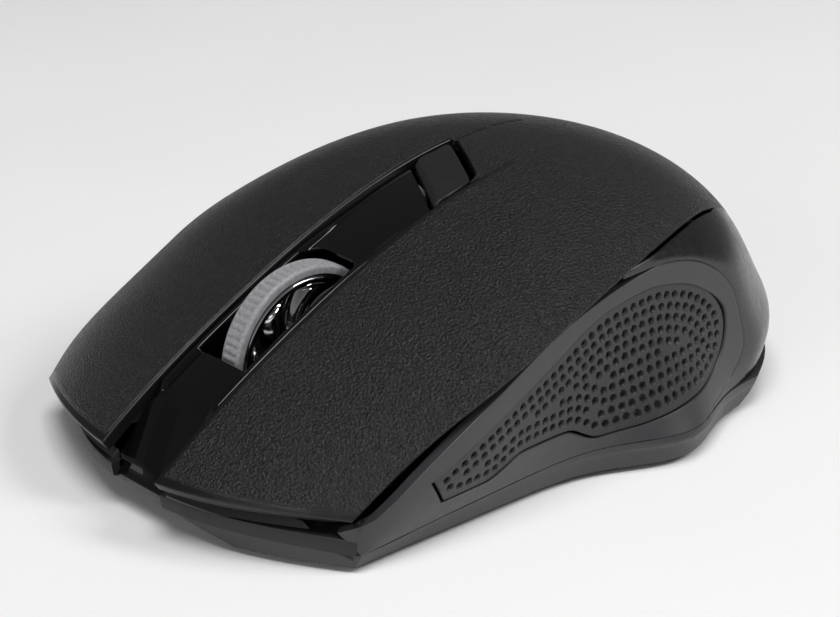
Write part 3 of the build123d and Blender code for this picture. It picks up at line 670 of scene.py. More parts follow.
SPINE_HALF = 5.8
BUTTON_INNER = 6.15
SLIT_LOW, SLIT_HIGH = 5.35, 5.8
SLIT_REAR = -21.0
MODE_SLANT = -0.57
MODE_MIDDLE, MODE_LENGTH = -0.5, 6.85
MODE_FRONT_GAP, MODE_REAR_GAP = 0.6, 1.3
MODE_CORNER = 1.6
SEAM_DROP = 0.45
TAIL_SPLIT = 0.55
FLANGE_START, FLANGE_TOP, FLANGE_WALL = 40.4, 1.2, 1.2
FLANGE_DEEP, FLANGE_SHALLOW = 4.4, 1.7
LEDGE_SINK, LEDGE_WALL, LEDGE_FOOT = 2.65, 1.3, 2.2


def row_at(x_low, x_high, y_of):
    """Curve on the skin, in (t, x), over the plan line y = y_of(x) from x_low to x_high."""
    def curve(s):
        x = x_low + (x_high - x_low) * np.asarray(s, float)
        return np.stack([t_at(x, y_of(x)), x], -1)
    return curve


def column_at(x, y_low, y_high):
    """Curve on the skin, in (t, x), at one x from y_low to y_high."""
    def curve(s):
        s = np.asarray(s, float)
        return np.stack([t_at(x + 0 * s, y_low + (y_high - y_low) * s), x + 0 * s], -1)
    return curve


def seam_curve(t_low, t_high, side):
    """Curve along the seam, in (t, x), from share t_low to t_high on one side."""
    def curve(s):
        t = t_low + (t_high - t_low) * np.asarray(s, float)
        return np.stack([t, side * seam_x(t, side)], -1)
    return curve


def seam_rest(y):
    """Lowest height of the shell's inner face: a little below the seam."""
    return seam_height(y) - SEAM_DROP


def seam_share(y, side=-1):
    """Share of the centre line at which the seam's skin point lies at y."""
    return float(solve(lambda t: crown_skin(t, side * seam_x(t, side))[..., 1] - y, 0.02, 0.7))


def nose_corner(side):
    """Share of the centre line at which the nose line meets the seam."""
    def ahead(t):
        x = side * seam_x(t, side)
        return crown_skin(t, x)[..., 1] - nose_y(x)
    return float(solve(ahead, 0.005, 0.4))


def button_plate(side, y_low, y_high, rolled):
    """Skin of a button from y_low to y_high, or to the nose line where y_high is None."""
    inner = side * BUTTON_INNER
    t_low = seam_share(y_low, side)
    t_high = nose_corner(side) if y_high is None else seam_share(y_high, side)
    x_low, x_high = (side * float(seam_x(t, side)) for t in (t_low, t_high))
    front = nose_y if y_high is None else lambda x: y_high + 0 * x
    inner_end = float(nose_y(inner)) if y_high is None else y_high
    outer_side, inner_side = seam_curve(t_low, t_high, side), column_at(inner, y_low, inner_end)
    ends = (x_low, inner), (x_high, inner)
    sides = [row_at(*ends[0], lambda x: y_low + 0 * x), row_at(*ends[1], front), outer_side, inner_side]
    length = inner_end - y_low
    return skin_sheet(crown_skin, sides, (max(int(length * 1.8), 8), 60), (length, 24), rolled,
                      sizes("edge_roll"), sizes("shell_wall"), rest=seam_rest)


def button_sheets(side):
    """Skin of a main button. Beside the palm's tongue, the left one meets it without an edge."""
    if side > 0:
        return [button_plate(1, ROOT_Y, None, (False, True, True, True))]
    split = float(mode_rear_line(-BUTTON_INNER))
    return [button_plate(-1, ROOT_Y, split, (False, False, True, False)),
            button_plate(-1, split, None, (False, True, True, True))]


def flange_sheet(side):
    """Wall under a button's inner edge: a strip between the skin sunk by FLANGE_TOP and by a depth
    that falls from FLANGE_DEEP to FLANGE_SHALLOW before the nose."""
    y = np.linspace(FLANGE_START, float(nose_y(side * BUTTON_INNER)) - 0.6, 40)[:, None]
    x = side * (BUTTON_INNER + FLANGE_WALL * np.linspace(0.03, 1, 4))[None, :]
    t = t_at(x, y + 0 * x)
    points = crown_skin(t, x)
    normals = skin_normals(crown_skin, t, x + 0 * t, *SKIN_STEPS)
    normals = normals * np.sign(normals[..., 2:3])
    depth = FLANGE_DEEP - (FLANGE_DEEP - FLANGE_SHALLOW) * smoothstep(47.6, 49.6, y + 0 * x)
    return closed_sheet(points - normals * FLANGE_TOP, points - normals * depth[..., None])


def palm_sheets():
    """Skin of the palm shell, in plates that meet without a seam: behind the slit, each side of
    it, and the tongue behind the mode button."""
    roll, wall = sizes("edge_roll"), sizes("shell_wall")
    t_root, t_slit = seam_share(ROOT_Y), seam_share(SLIT_REAR)
    x_root, x_slit = float(seam_x(t_root)), float(seam_x(t_slit))
    root_line, slit_line = (lambda x: ROOT_Y + 0 * x), (lambda x: SLIT_REAR + 0 * x)
    left = (
        row_at(-x_slit, SLIT_LOW, slit_line), row_at(-x_root, SLIT_LOW, root_line),
        seam_curve(t_slit, t_root, -1), column_at(SLIT_LOW, SLIT_REAR, ROOT_Y))
    right = (
        row_at(SLIT_HIGH, x_slit, slit_line), row_at(SLIT_HIGH, x_root, root_line),
        column_at(SLIT_HIGH, SLIT_REAR, ROOT_Y), seam_curve(t_slit, t_root, 1))
    beside = [
        skin_sheet(crown_skin, sides, counts, span, (False, False, True, True), roll, wall, rest=seam_rest)
        for sides, counts, span in ((left, (24, 90), (13, 36)), (right, (24, 60), (13, 25)))]
    return beside + [tail_sheet(t_slit, roll, wall), tongue_sheet(roll, wall)]


def tail_sheet(t_start, roll, wall):
    """Rear plate of the palm shell, bounded by the seam all round its tail.

    The half seam is resampled by its length, and split where it turns most into side and rear."""
    def above_seam(t):
        centre = crown_skin(t, 0.0)
        return centre[..., 2] - seam_height(centre[..., 1])

    t_end = float(solve(above_seam, 0.5, 0.93)) - 1e-4
    share = 1 - (1 - np.linspace(0, 1, 400)) ** 3
    t = t_start + (t_end - t_start) * share
    x = seam_x(t)
    x[-1] = 0.0
    run = run_along(crown_skin(t, x))
    run = run / run[-1]

    def half(s, side):
        return np.stack([np.interp(s, run, t), side * np.interp(s, run, x)], -1)

    def rear(s):
        s = np.asarray(s, float)
        return half(1 - (1 - TAIL_SPLIT) * np.abs(2 * s - 1), np.where(s < 0.5, -1.0, 1.0))

    x_start = float(x[0])
    sides = (
        rear, row_at(-x_start, x_start, lambda x: SLIT_REAR + 0 * x),
        lambda s: half(TAIL_SPLIT * (1 - np.asarray(s, float)), -1.0),
        lambda s: half(TAIL_SPLIT * (1 - np.asarray(s, float)), 1.0))
    return skin_sheet(crown_skin, sides, (90, 140), (26, 62), (True, False, True, True), roll, wall,
                      rest=seam_rest)


def mode_rear_line(x):
    """Slanted rear edge of the mode button's opening, in plan."""
    return MODE_MIDDLE - MODE_LENGTH / 2 - MODE_REAR_GAP + MODE_SLANT * x


def tongue_sheet(roll, wall):
    """Tongue of the palm shell between its root line and the slanted rear edge of the mode opening."""
    x_low, x_high = -BUTTON_INNER, 4.6

    def front_line(x):
        """The slanted line, carried forward round the opening's corner on the thumb side."""
        return mode_rear_line(x) + roll_depth(SPINE_HALF - 0.1 + x, MODE_CORNER)

    sides = (
        row_at(x_low, x_high, lambda x: ROOT_Y + 0 * x), row_at(x_low, x_high, front_line),
        column_at(x_low, ROOT_Y, float(front_line(x_low))),
        column_at(x_high, ROOT_Y, float(front_line(x_high))))
    return skin_sheet(crown_skin, sides, (24, 60), (3, 10), (False, True, False, False), roll, wall)


def make_shell():
    make_piece("palm_shell", palm_sheets(), "case", "grained_shell", ["top_shell"])


def lip_share(points):
    """1 on the plain lip behind the nose line and on the rolled inner edge, 0 on the grained skin."""
    width = sizes("lip_width")
    lip = 1 - smoothstep(width * 0.85, width * 1.15, nose_y(points[:, 0]) - points[:, 1])
    edge = 1 - smoothstep(0.35, 0.6, np.abs(points[:, 0]) - BUTTON_INNER)
    return np.maximum(lip, edge)


def ledge_sheet(side):
    """Ledge of the case under a button's front edge: its top follows the skin at the nose line
    sunk by LEDGE_SINK, which leaves room for the press. It stands just before the case's leaning
    front wall and sinks into it below."""
    x = side * np.linspace(5.0, 29.9, 70)[None, :]
    skin = crown_skin(t_at(x, nose_y(x)), x)[..., 2]
    down = np.array([0.0, 0.1, 0.4, 1.2, 2.0, 2.2])[:, None]
    proud = np.array([-0.25, 0.0, 0.18, 0.2, 0.16, -0.4])[:, None]
    z = np.maximum(skin - LEDGE_SINK - down, LEDGE_FOOT + 0.1 * (LEDGE_FOOT - down))
    top = np.stack([x + 0 * down, case_nose_y(x, z) + proud, z], -1)
    return closed_sheet(top, top - np.array([0.0, LEDGE_WALL, 0.0]))


def make_ledges():
    for side, name in ((-1, "left"), (1, "right")):
        # The ledges are the case's upper rim, but they take the dark case_black finish instead of the satin grey
        # of the rest of the case: painted shade under the button lips.
        make_piece(f"{name}_front_ledge", [ledge_sheet(side)], "case", "case_black")


def make_buttons():
    for side, name in ((-1, "left"), (1, "right")):
        make_piece(f"{name}_button_cover", button_sheets(side), f"{name}_button_body", "grained_shell",
                   [f"{name}_button"], plain=lip_share)
        make_piece(f"{name}_button_flange", [flange_sheet(side)], f"{name}_button_body", "case_black")


# ---------------------------------------------------------------- spine, chin and mode button

SLOT_HALF = 4.9
SLOT_ROUND = 2.4
SLOT_REAR = WHEEL[1] - TYRE_RADIUS + 6.8
SLOT_FRONT = WHEEL[1] + TYRE_RADIUS + 1.0
FOLD_Y = 43.7
LIP_Y, LIP_Z = 52.0, 4.6
STRIP_ROLL, STRIP_WALL = 0.22, 2.6
REAR_STRIP_WALL = 1.5


def strip_depth(points, near=None):
    """Sink of the glossy strip, less on the rails beside the wheel."""
    x, y = points[..., 0], points[..., 1]
    rail = smoothstep(4.6, 5.0, np.abs(x)) * smoothstep(9.0, 23.0, y)
    sink = sizes("spine_sink")
    return sink - (sink - sizes("rail_sink")) * rail


def strip_sheet(x_low, x_high, rear, front, counts, rolled, wall=STRIP_WALL):
    """Plate of the glossy strip between two plan lines."""
    sides = (
        row_at(x_low, x_high, rear), row_at(x_low, x_high, front),
        column_at(x_low, float(rear(x_low)), float(front(x_low))),
        column_at(x_high, float(rear(x_high)), float(front(x_high))))
    span = (float(front(x_low) - rear(x_low)), x_high - x_low)
    return skin_sheet(crown_skin, sides, counts, span, rolled, STRIP_ROLL, wall, strip_depth)


def spine_sheets():
    """Strip from the mode button to the fold, in four plates round the wheel slot."""
    half = SPINE_HALF

    def rear(x):
        return MODE_MIDDLE + MODE_LENGTH / 2 + MODE_FRONT_GAP + MODE_SLANT * x

    def slot_rear(x):
        return SLOT_REAR + roll_depth(SLOT_HALF - np.abs(x), SLOT_ROUND)

    def level(y):
        return lambda x: y + 0 * x

    rail_rear, rail_front = level(SLOT_REAR + SLOT_ROUND), level(SLOT_FRONT)
    rails = [
        strip_sheet(low, high, rail_rear, rail_front, (30, 8), (False, False, True, True))
        for low, high in ((-half, -SLOT_HALF), (SLOT_HALF, half))]
    return [
        strip_sheet(-half, half, rear, slot_rear, (26, 90), (True, True, True, True), REAR_STRIP_WALL),
        *rails,
        strip_sheet(-half, half, rail_front, level(FOLD_Y - 0.25), (12, 60), (True, False, True, True)),
    ]


def rounded_path(corners, radii, steps=7):
    """Path along straight runs with a quadratic curve of the given reach at each inner corner."""
    corners = np.asarray(corners, float)
    share = np.linspace(0, 1, steps)[:, None]
    parts = [corners[:1]]
    for i, reach in enumerate(radii, start=1):
        back = corners[i - 1] - corners[i]
        ahead = corners[i + 1] - corners[i]
        start = corners[i] + back / np.linalg.norm(back) * reach
        stop = corners[i] + ahead / np.linalg.norm(ahead) * reach
        parts.append((1 - share) ** 2 * start + 2 * share * (1 - share) * corners[i] + share ** 2 * stop)
    parts.append(corners[-1:])
    return np.concatenate(parts)


def chin_sheet():
    """Chin from the fold to the lip: a (y, z) profile with rounded corners carried across, with one
    half raised into a facet whose crease runs down towards the thumb side."""
    x = SPINE_HALF * np.linspace(-1, 1, 81)[None, :]
    t = t_at(x, FOLD_Y - 0.25 + 0 * x)
    normals = skin_normals(crown_skin, t, x, *SKIN_STEPS)
    normals = normals * np.sign(normals[..., 2:])
    points = crown_skin(t, x)
    deck = points - normals * strip_depth(points)[..., None]
    middle = deck[0, 40, 1:]
    path = rounded_path(
        [middle, middle + [0.5, -0.3], (LIP_Y, LIP_Z), (LIP_Y - 1.3, 3.3), (LIP_Y - 2.6, 3.1)],
        (0.4, 0.5, 0.3))
    run = run_along(path)
    length = np.unique(np.concatenate([run, np.linspace(0, run[-1], 60)]))
    y, z = (np.interp(length, run, path[:, i])[:, None] for i in (0, 1))
    crease = 1.0 - 4.0 * (y - FOLD_Y) / (LIP_Y - FOLD_Y)
    face = smoothstep(FOLD_Y + 0.2, FOLD_Y + 2.5, y) * (1 - smoothstep(LIP_Y - 1.8, LIP_Y - 0.6, y))
    raised = 0.55 * np.clip((x - crease) / 3.0, 0, 1) * face
    lift = raised - roll_depth(SPINE_HALF - np.abs(x), 0.25) * smoothstep(0, 0.6, length[:, None])
    follow = (1 - smoothstep(0.0, 3.0, length[:, None]))[..., None] * (deck[..., 1:] - middle)
    top = np.stack([x + 0 * y, y + 0.77 * lift, z + 0.64 * lift], -1)
    top[..., 1:] += follow
    under = top - np.array([0.0, 1.4, 0.8])
    return closed_sheet(top, under)


def make_spine():
    make_piece("glossy_spine", spine_sheets() + [chin_sheet()], "case", "gloss_black", ["centre_spine"])


def make_mode_button():
    """Slanted rectangle on the skin with rounded corners, rolled edges and a chamfer along its front."""
    half, corner = SPINE_HALF - 0.25, 0.9

    def round_end(x):
        return roll_depth(half - np.abs(x), corner)

    def front(x):
        return MODE_MIDDLE + MODE_LENGTH / 2 + MODE_SLANT * x - round_end(x)

    def rear(x):
        return MODE_MIDDLE - MODE_LENGTH / 2 + MODE_SLANT * x + round_end(x)

    def depth(points, near):
        behind = near[1]
        return 0.1 + 0.38 * (1 - smoothstep(0.0, 1.0, behind)) + 0.05 * smoothstep(1.0, 4.0, behind)

    sides = (row_at(-half, half, rear), row_at(-half, half, front),
             column_at(-half, float(rear(-half)), float(front(-half))),
             column_at(half, float(rear(half)), float(front(half))))
    sheet = skin_sheet(crown_skin, sides, (40, 70), (MODE_LENGTH, 2 * half), (True, True, True, True), 0.3,
                       1.9, depth)
    make_piece("mode_button_cap", [sheet], "mode_button_body", "case_black", ["mode_button"])


# ---------------------------------------------------------------- wheel

HUB_RADIUS = TYRE_RADIUS - 1.75
FIN_COUNT, FIN_RISE, FIN_LAG = 9, 1.0, 1.15
WEB_HALF, RIM_RISE, BOSS_RISE = 0.55, 0.95, 1.9
AXLE_RADIUS = 1.25


def turned(x, radius, turn):
    """Points of a profile of x and radius turned round the wheel's axle."""
    return np.stack([
        x + 0 * turn + WHEEL[0], WHEEL[1] + radius * np.cos(turn), WHEEL[2] + radius * np.sin(turn)], -1)


def hub_rings():
    """Hub: on both sides a dish with swirled fins inside a flat rim.

    Half thickness = web + boss + fins + rim, where a fin is a raised cosine to a power of the
    angle less a lag that grows with the radius, faded in outside the boss and out before the rim."""
    turn = np.linspace(0, 2 * math.pi, 540, endpoint=False)[:, None]
    radius = np.concatenate([
        np.linspace(HUB_RADIUS, HUB_RADIUS - 0.3, 4), np.linspace(HUB_RADIUS - 0.4, 1.3, 56)])
    lag = FIN_LAG * (radius / HUB_RADIUS) ** 1.3
    wave = (0.5 + 0.5 * np.cos(FIN_COUNT * (turn - lag[None, :]))) ** 1.6
    fade = smoothstep(2.4, 4.2, radius) * (1 - smoothstep(HUB_RADIUS - 1.5, HUB_RADIUS - 0.9, radius))
    rim = RIM_RISE * smoothstep(HUB_RADIUS - 1.3, HUB_RADIUS - 0.8, radius) - 0.15 * smoothstep(
        HUB_RADIUS - 0.25, HUB_RADIUS, radius)
    boss = BOSS_RISE * (1 - smoothstep(2.3, 2.7, radius))
    half = WEB_HALF + rim[None, :] + boss[None, :] + FIN_RISE * wave * fade[None, :]
    near = turned(-half, radius[None, :], turn)
    far = turned(half, radius[None, :], turn)
    return np.concatenate([near, far[:, ::-1]], axis=1)


def ring_section(half, low, high, soft=0.12):
    """Closed rounded rectangle of x and radius, for rings and pins."""
    bend = np.linspace(0, math.pi / 2, 5)
    x, radius = [], []
    for sx, sr in ((1, 1), (-1, 1), (-1, -1), (1, -1)):
        angle = bend if sx * sr > 0 else bend[::-1]
        x.append(sx * (half - soft + soft * np.cos(angle)))
        edge = high if sr > 0 else low
        radius.append(edge - sr * soft + sr * soft * np.sin(angle))
    return np.concatenate(x)[None, :], np.concatenate(radius)[None, :]


def tyre_rings():
    """Rubber tyre: a profile of |x| and radius turned round the axle.

    Across the middle of its width the radius drops by the rib depth in grooves, whose section
    over one pitch is a raised cosine to a power, and the rims at both sides stay plain."""
    ribs = int(round(2 * math.pi * TYRE_RADIUS / sizes("rib_pitch")))
    turn = np.linspace(0, 2 * math.pi, ribs * 9, endpoint=False)[:, None]
    inner = HUB_RADIUS + 0.5
    half, soft = TYRE_HALF, 0.55
    bend = np.linspace(0, math.pi / 2, 7)
    right = np.stack([half - soft + soft * np.cos(bend), TYRE_RADIUS - soft + soft * np.sin(bend)])
    middle = np.linspace(half - soft, -half + soft, 22)[1:-1]
    x = np.concatenate([[half - 0.1], right[0], middle, -right[0][::-1], [-half + 0.1]])
    radius = np.concatenate([[inner], right[1], np.full(20, TYRE_RADIUS), right[1][::-1], [inner]])
    crowned = radius - 0.1 * (x / half) ** 2 * (radius > inner + 1)
    groove = (0.5 + 0.5 * np.cos(ribs * turn)) ** 1.4
    band = smoothstep(half * 0.72, half * 0.60, np.abs(x)) * (radius > inner + 1)
    r = crowned[None, :] - sizes("rib_depth") * groove * band[None, :]
    return turned(x[None, :], r, turn)


def make_wheel():
    """Tyre, hub with its axle, and the dark ring that shows between them."""
    turn = np.linspace(0, 2 * math.pi, 180, endpoint=False)[:, None]
    low, high = box_mm("wheel_hub")
    x, radius = ring_section((high[0] - low[0]) / 2, 0.25, AXLE_RADIUS)
    axle = turned(x + (high[0] + low[0]) / 2 - WHEEL[0], radius, turn[::4])
    ring = turned(*ring_section(TYRE_HALF - 0.55, HUB_RADIUS - 0.04, HUB_RADIUS + 0.62), turn)
    make_piece("ribbed_tyre", [closed_tube(tyre_rings())], "wheel", "wheel_rubber", ["wheel_tyre"])
    make_piece("chrome_hub", [closed_tube(hub_rings()), closed_tube(axle)], "wheel", "wheel_metal", ["wheel_hub"])
    make_piece("wheel_ring", [closed_tube(ring)], "wheel", "case_black")


# ---------------------------------------------------------------- side panels, grips and tail

PANEL_REAR = [
    (-4.3, 27.3), (-14.2, 27.2), (-20.6, 25.1), (-26.0, 20.1), (-28.4, 14.0),
    (-29.0, 10.6), (-26.5, 7.0), (-21.5, 5.3), (-15.5, 4.6)]
GRIP_TOP = [
    (30.5, 10.3), (16.9, 16.5), (7.3, 20.1), (-0.2, 23.3), (-5.6, 24.3),
    (-11.0, 24.6), (-15.0, 23.9), (-19.2, 22.3), (-22.2, 20.0), (-24.1, 17.4),
    (-24.6, 14.1), (-22.9, 10.6), (-19.1, 8.6), (-14.9, 8.1), (-6.1, 6.9)]
GRIP_BOTTOM = [(-6.1, 6.9), (0.7, 6.2), (4.7, 8.5), (14.6, 8.7), (19.2, 6.4), (28.0, 6.3)]
SIDE_GAP = 1.9
GROOVE = 0.42
DIMPLE_PITCH, DIMPLE_RADIUS, DIMPLE_DEPTH = 1.62, 0.56, 0.7
DIMPLE_INSET, DIMPLE_ROWS = 1.55, 7
GRIP_SINK, GRIP_WALL = 0.2, 1.2
PANEL_ROLL, PANEL_WALL = 0.3, 1.6


def smooth_line(points, count=160):
    """Points along a natural cubic spline through the given ones, by chord length."""
    points = np.asarray(points, float)
    knots = run_along(points)
    return natural_spline(knots, points)(np.linspace(0, knots[-1], count))


def by_length(points):
    """Function of a share of the path's length that returns the place on the path."""
    points = np.asarray(points, float)
    run = run_along(points)
    run = run / run[-1]
    return lambda s: np.stack([np.interp(s, run, points[:, i]) for i in range(points.shape[1])], -1)


def grip_edges():
    """Rear, front, bottom and top edge of the grip in the side view, as functions of a share."""
    top = smooth_line(GRIP_TOP, 300)
    bottom = rounded_path(GRIP_BOTTOM, (1.2, 1.2, 1.2, 1.2), 6)
    high = int(np.argmin(np.hypot(*(top - np.array([-20.8, 21.2])).T)))
    low = int(np.argmin(np.hypot(*(top - np.array([-21.3, 9.5])).T)))
    rear = by_length(top[high:low + 1][::-1])
    upper = by_length(top[:high + 1][::-1])
    lower = by_length(np.concatenate([top[low:], bottom[1:]]))
    front = by_length([GRIP_BOTTOM[-1], GRIP_TOP[0]])
    return rear, front, lower, upper


def grip_outline(count=900):
    """Closed outline of the grip in the side view, evenly spaced, from its front over the top."""
    rear, front, lower, upper = grip_edges()
    s = np.linspace(0, 1, 400)
    loop = np.concatenate([front(s), upper(1 - s), rear(1 - s), lower(s)])
    return by_length(loop)(np.linspace(0, 1, count, endpoint=False))


def dimple_places():
    """Centres of the dimples in the side view: rows at equal steps inside the outline.

    Each row is the outline moved inward along its normal, without the points that come nearer to
    the outline than the step, and is divided at the pitch. A centre too near an earlier one goes."""
    line = grip_outline()
    along = np.roll(line, -1, 0) - np.roll(line, 1, 0)
    normal = np.stack([-along[:, 1], along[:, 0]], -1)
    normal /= np.linalg.norm(normal, axis=1, keepdims=True)
    if (normal * (line.mean(0) - line)).sum() < 0:
        normal = -normal
    places = []
    for inset in DIMPLE_INSET + DIMPLE_INSET * np.arange(DIMPLE_ROWS):
        row = line + normal * inset
        apart = np.linalg.norm(row[:, None] - line[None], axis=2).min(axis=1)
        row = row[apart > inset - 0.03]
        if len(row) < 4:
            continue
        run = run_along(row)
        for i in np.searchsorted(run, np.arange(0.3, run[-1], DIMPLE_PITCH)):
            point = row[min(i, len(row) - 1)]
            if all(np.hypot(*(point - other)) > DIMPLE_PITCH * 0.86 for other in places):
                places.append(point)
    return np.array(places)


def grip_sheet(side):
    """Grip inlay on the side wall, with its dimples sunk as smooth steps round their centres."""
    centres = dimple_places()

    def dimples(points, near):
        place = points[..., 1:3]
        nearest = np.full(place.shape[:2], 1e3)
        for centre in centres:
            nearest = np.minimum(nearest, np.hypot(*(place - centre).transpose(2, 0, 1)))
        return GRIP_SINK + DIMPLE_DEPTH * (1 - smoothstep(DIMPLE_RADIUS * 0.6, DIMPLE_RADIUS, nearest))

    return skin_sheet(side_wall(side), grip_edges(), (330, 96), (53, 15), (True, True, True, True), 0.22,
                      GRIP_WALL, dimples, (0.02, 0.02))


def panel_ring(side):
    """Side panel round the grip: a torus whose rings run from the panel's outline to the grip's.

    Both outlines are cut at matching corners, and each ring is a straight line between them in
    the side view, with rounded edges, and back under it by the thickness."""
    rear = smooth_line(PANEL_REAR, 400)
    rear = rear[rear[:, 1] < seam_height(rear[:, 0]) - SIDE_GAP]
    back = int(np.argmin(rear[:, 0]))
    y_top = np.linspace(40.6, rear[0, 0], 120)
    top = np.stack([y_top, seam_height(y_top) - SIDE_GAP], -1)
    y_low = np.linspace(-15.5, 41.0, 120)
    low = np.stack([y_low, ridge_height(y_low) + 0.06], -1)
    tip = np.array([43.6, 5.45])
    outer_parts = [np.vstack([tip, top]), rear[:back + 1], rear[back:], low, np.vstack([low[-1], tip])]
    rear_edge, front, lower, upper = grip_edges()
    s = np.linspace(0, 1, 200)
    inner_parts = [upper(1 - s), rear_edge(1 - s[:100]), rear_edge(1 - s[99:]), lower(s), front(s)]

    def joined(parts):
        """The parts one after another, each divided evenly into its count of points."""
        return np.concatenate([
            by_length(part)(np.linspace(0, 1, count, endpoint=False))
            for part, count in zip(parts, (230, 60, 60, 250, 26))])

    outer, inner = joined(outer_parts), joined(inner_parts)
    toward = outer - inner
    inner = inner + toward / np.linalg.norm(toward, axis=1, keepdims=True) * GROOVE
    span = np.linalg.norm(outer - inner, axis=1)[:, None]
    roll = PANEL_ROLL
    edge = np.array([0.0, 0.06, 0.2, 0.5, 0.8, 1.0]) * roll
    distance = np.concatenate([edge, np.full(12, np.nan), -edge[::-1]])[None, :] + 0 * span
    inside = np.linspace(0, 1, 14)[1:-1][None, :]
    distance[:, 6:18] = roll + (span - 2 * roll) * inside
    distance[:, 18:] += span
    share = distance / span
    place = outer[:, None] * (1 - share[..., None]) + inner[:, None] * share[..., None]
    wall = side_wall(side)
    a, b = place[..., 0], place[..., 1]
    points = wall(a, b)
    normals = skin_normals(wall, a, b, 0.02, 0.02)
    normals = normals * np.sign(normals[..., :1]) * side
    depth = roll_depth(np.minimum(distance, span - distance), roll)[..., None]
    rings = np.concatenate([points - normals * depth, (points - normals * PANEL_WALL)[:, ::-1]], axis=1)
    return closed_tube(rings)


def make_sides():
    for side, name in ((-1, "left"), (1, "right")):
        make_piece(f"{name}_panel", [panel_ring(side)], "case", "satin_grey", [f"{name}_side_panel"])
        make_piece(f"{name}_dimpled_grip", [grip_sheet(side)], "case", "grip_rubber", [f"{name}_grip"])


def tail_band():
    """Band round the tail below the shell, between the rear edges of the side panels."""
    rear = smooth_line(PANEL_REAR, 140)[::-1]
    rear[:, 1] = np.maximum(rear[:, 1], 4.75)
    high = float(seam_height(PANEL_REAR[0][0])) - 0.3
    rear = np.vstack([rear, [PANEL_REAR[0][0], high]])

    def turn_of(y, z, side):
        return side * np.arctan2(side_x(y, z), POLE_Y - y)

    def end(side):
        scale = np.array([4.5, 1.0])
        line = by_length(np.stack([turn_of(rear[:, 0], rear[:, 1], side), rear[:, 1]], -1) * scale)
        return lambda s: line(s) / scale

    corner = float(turn_of(*rear[0], 1)), float(turn_of(*rear[-1], 1))

    def bottom(s):
        s = np.asarray(s, float)
        return np.stack([corner[0] * (2 * s - 1), rear[0, 1] + 0 * s], -1)

    def top(s):
        turn = corner[1] * (2 * np.asarray(s, float) - 1)

        def over(z):
            return z - seam_height(tail_wall(turn, z)[..., 1]) + 0.3
        return np.stack([turn, solve(over, 8.0, 30.0, 24)], -1)

    return skin_sheet(tail_wall, (bottom, top, end(-1), end(1)), (60, 150), (20, 110),
                      (True, True, True, True), 0.25, 1.8, None, (2e-3, 0.02))


def make_tail():
    make_piece("glossy_tail", [tail_band()], "case", "gloss_black", ["tail_band"], shown="tail_gloss")


# ---------------------------------------------------------------- stage

FLOOR_HALF = 3.0


def make_floor():
    """Square sheet of pale paper under the mouse, in metres."""
    floor = bpy.data.meshes.new("floor")
    corners = [(x * FLOOR_HALF, y * FLOOR_HALF, 0) for x, y in ((-1, -1), (1, -1), (1, 1), (-1, 1))]
    floor.from_pydata(corners, [], [(0, 1, 2, 3)])
    surface = begin("studio_paper", (*bpy.context.scene.mouse_stage.floor, 1.0), 0.6)
    uneven_gloss(surface, 60.0, 0.55, 0.65, detail=2.0)
    floor.materials.append(surface[0])
    obj = bpy.data.objects.new("floor", floor)
    bpy.context.scene.collection.objects.link(obj)


def make_world():
    """Soft studio surround: bright near the horizon, darker overhead."""
    world = bpy.data.worlds.new("studio")
    bpy.context.scene.world = world
    world.use_nodes = True
    tree = world.node_tree
    tree.nodes.clear()
    direction = add(tree, "ShaderNodeTexCoord")
    axes = add(tree, "ShaderNodeSeparateXYZ", {0: direction.outputs["Generated"]})
    fade = add(tree, "ShaderNodeMapRange", {
        "Value": axes.outputs["Z"], "From Min": 0.0, "From Max": 0.5, "To Min": 0.22, "To Max": 0.10},
        clamp=True)
    background = add(tree, "ShaderNodeBackground", {
        "Color": (1.0, 1.0, 1.0, 1.0), "Strength": fade.outputs["Result"]})
    add(tree, "ShaderNodeOutputWorld", {"Surface": background.outputs["Background"]})


def area_light(name, place, target, size, power):
    """Rectangular softbox at place, turned to target: metres and watts."""
    light = bpy.data.lights.new(name, "AREA")
    light.shape = "RECTANGLE"
    light.size, light.size_y = size
    light.energy = power
    obj = bpy.data.objects.new(name, light)
    bpy.context.scene.collection.objects.link(obj)
    aim(obj, place, target)


def aim(obj, place, target):
    """Puts an object at place with its -Z axis towards target and its +Y axis up."""
    place, target = np.array(place, float), np.array(target, float)
    back = place - target
    back /= np.linalg.norm(back)
    right = np.cross((0.0, 0.0, 1.0), back)
    right /= np.linalg.norm(right)
    above = np.cross(back, right)
    rows = [[right[i], above[i], back[i], place[i]] for i in range(3)] + [[0, 0, 0, 1]]
    obj.matrix_world = Matrix(rows)


CAMERA_TARGET = (0.001715, 0.001876, 0.014718)


def make_camera():
    stage = bpy.context.scene.mouse_stage
    camera = bpy.data.cameras.new("camera")
    camera.lens = stage.lens
    camera.sensor_width = 36.0
    camera.sensor_fit = "HORIZONTAL"
    camera.clip_start = 0.01
    obj = bpy.data.objects.new("camera", camera)
    bpy.context.scene.collection.objects.link(obj)
    a, e = stage.azimuth, stage.elevation
    back = np.array([math.sin(a) * math.cos(e), -math.cos(a) * math.cos(e), math.sin(e)])
    aim(obj, np.array(CAMERA_TARGET) + stage.distance * back, CAMERA_TARGET)
    bpy.context.scene.camera = obj


def make_lights():
    make_world()
    area_light("overhead_softbox", (-0.26, 0.22, 1.1), (0, 0, 0), (0.6, 0.6), 8.6)
    area_light("thumb_side_softbox", (-0.62, -0.50, 0.70), (0, 0, 0.02), (0.4, 0.4), 4.9)
    area_light("front_fill", (-0.25, 0.95, 0.42), (0, 0.02, 0.01), (0.7, 0.4), 2.0)


# ---------------------------------------------------------------- operators, panel and main

class MOUSE_OT_stage(bpy.types.Operator):
    """Add the floor, the light and the camera"""
    bl_idname = "mouse.stage"
    bl_label = "Stage"

    def execute(self, context):
        make_camera()
        make_floor()
        make_lights()
        return {"FINISHED"}


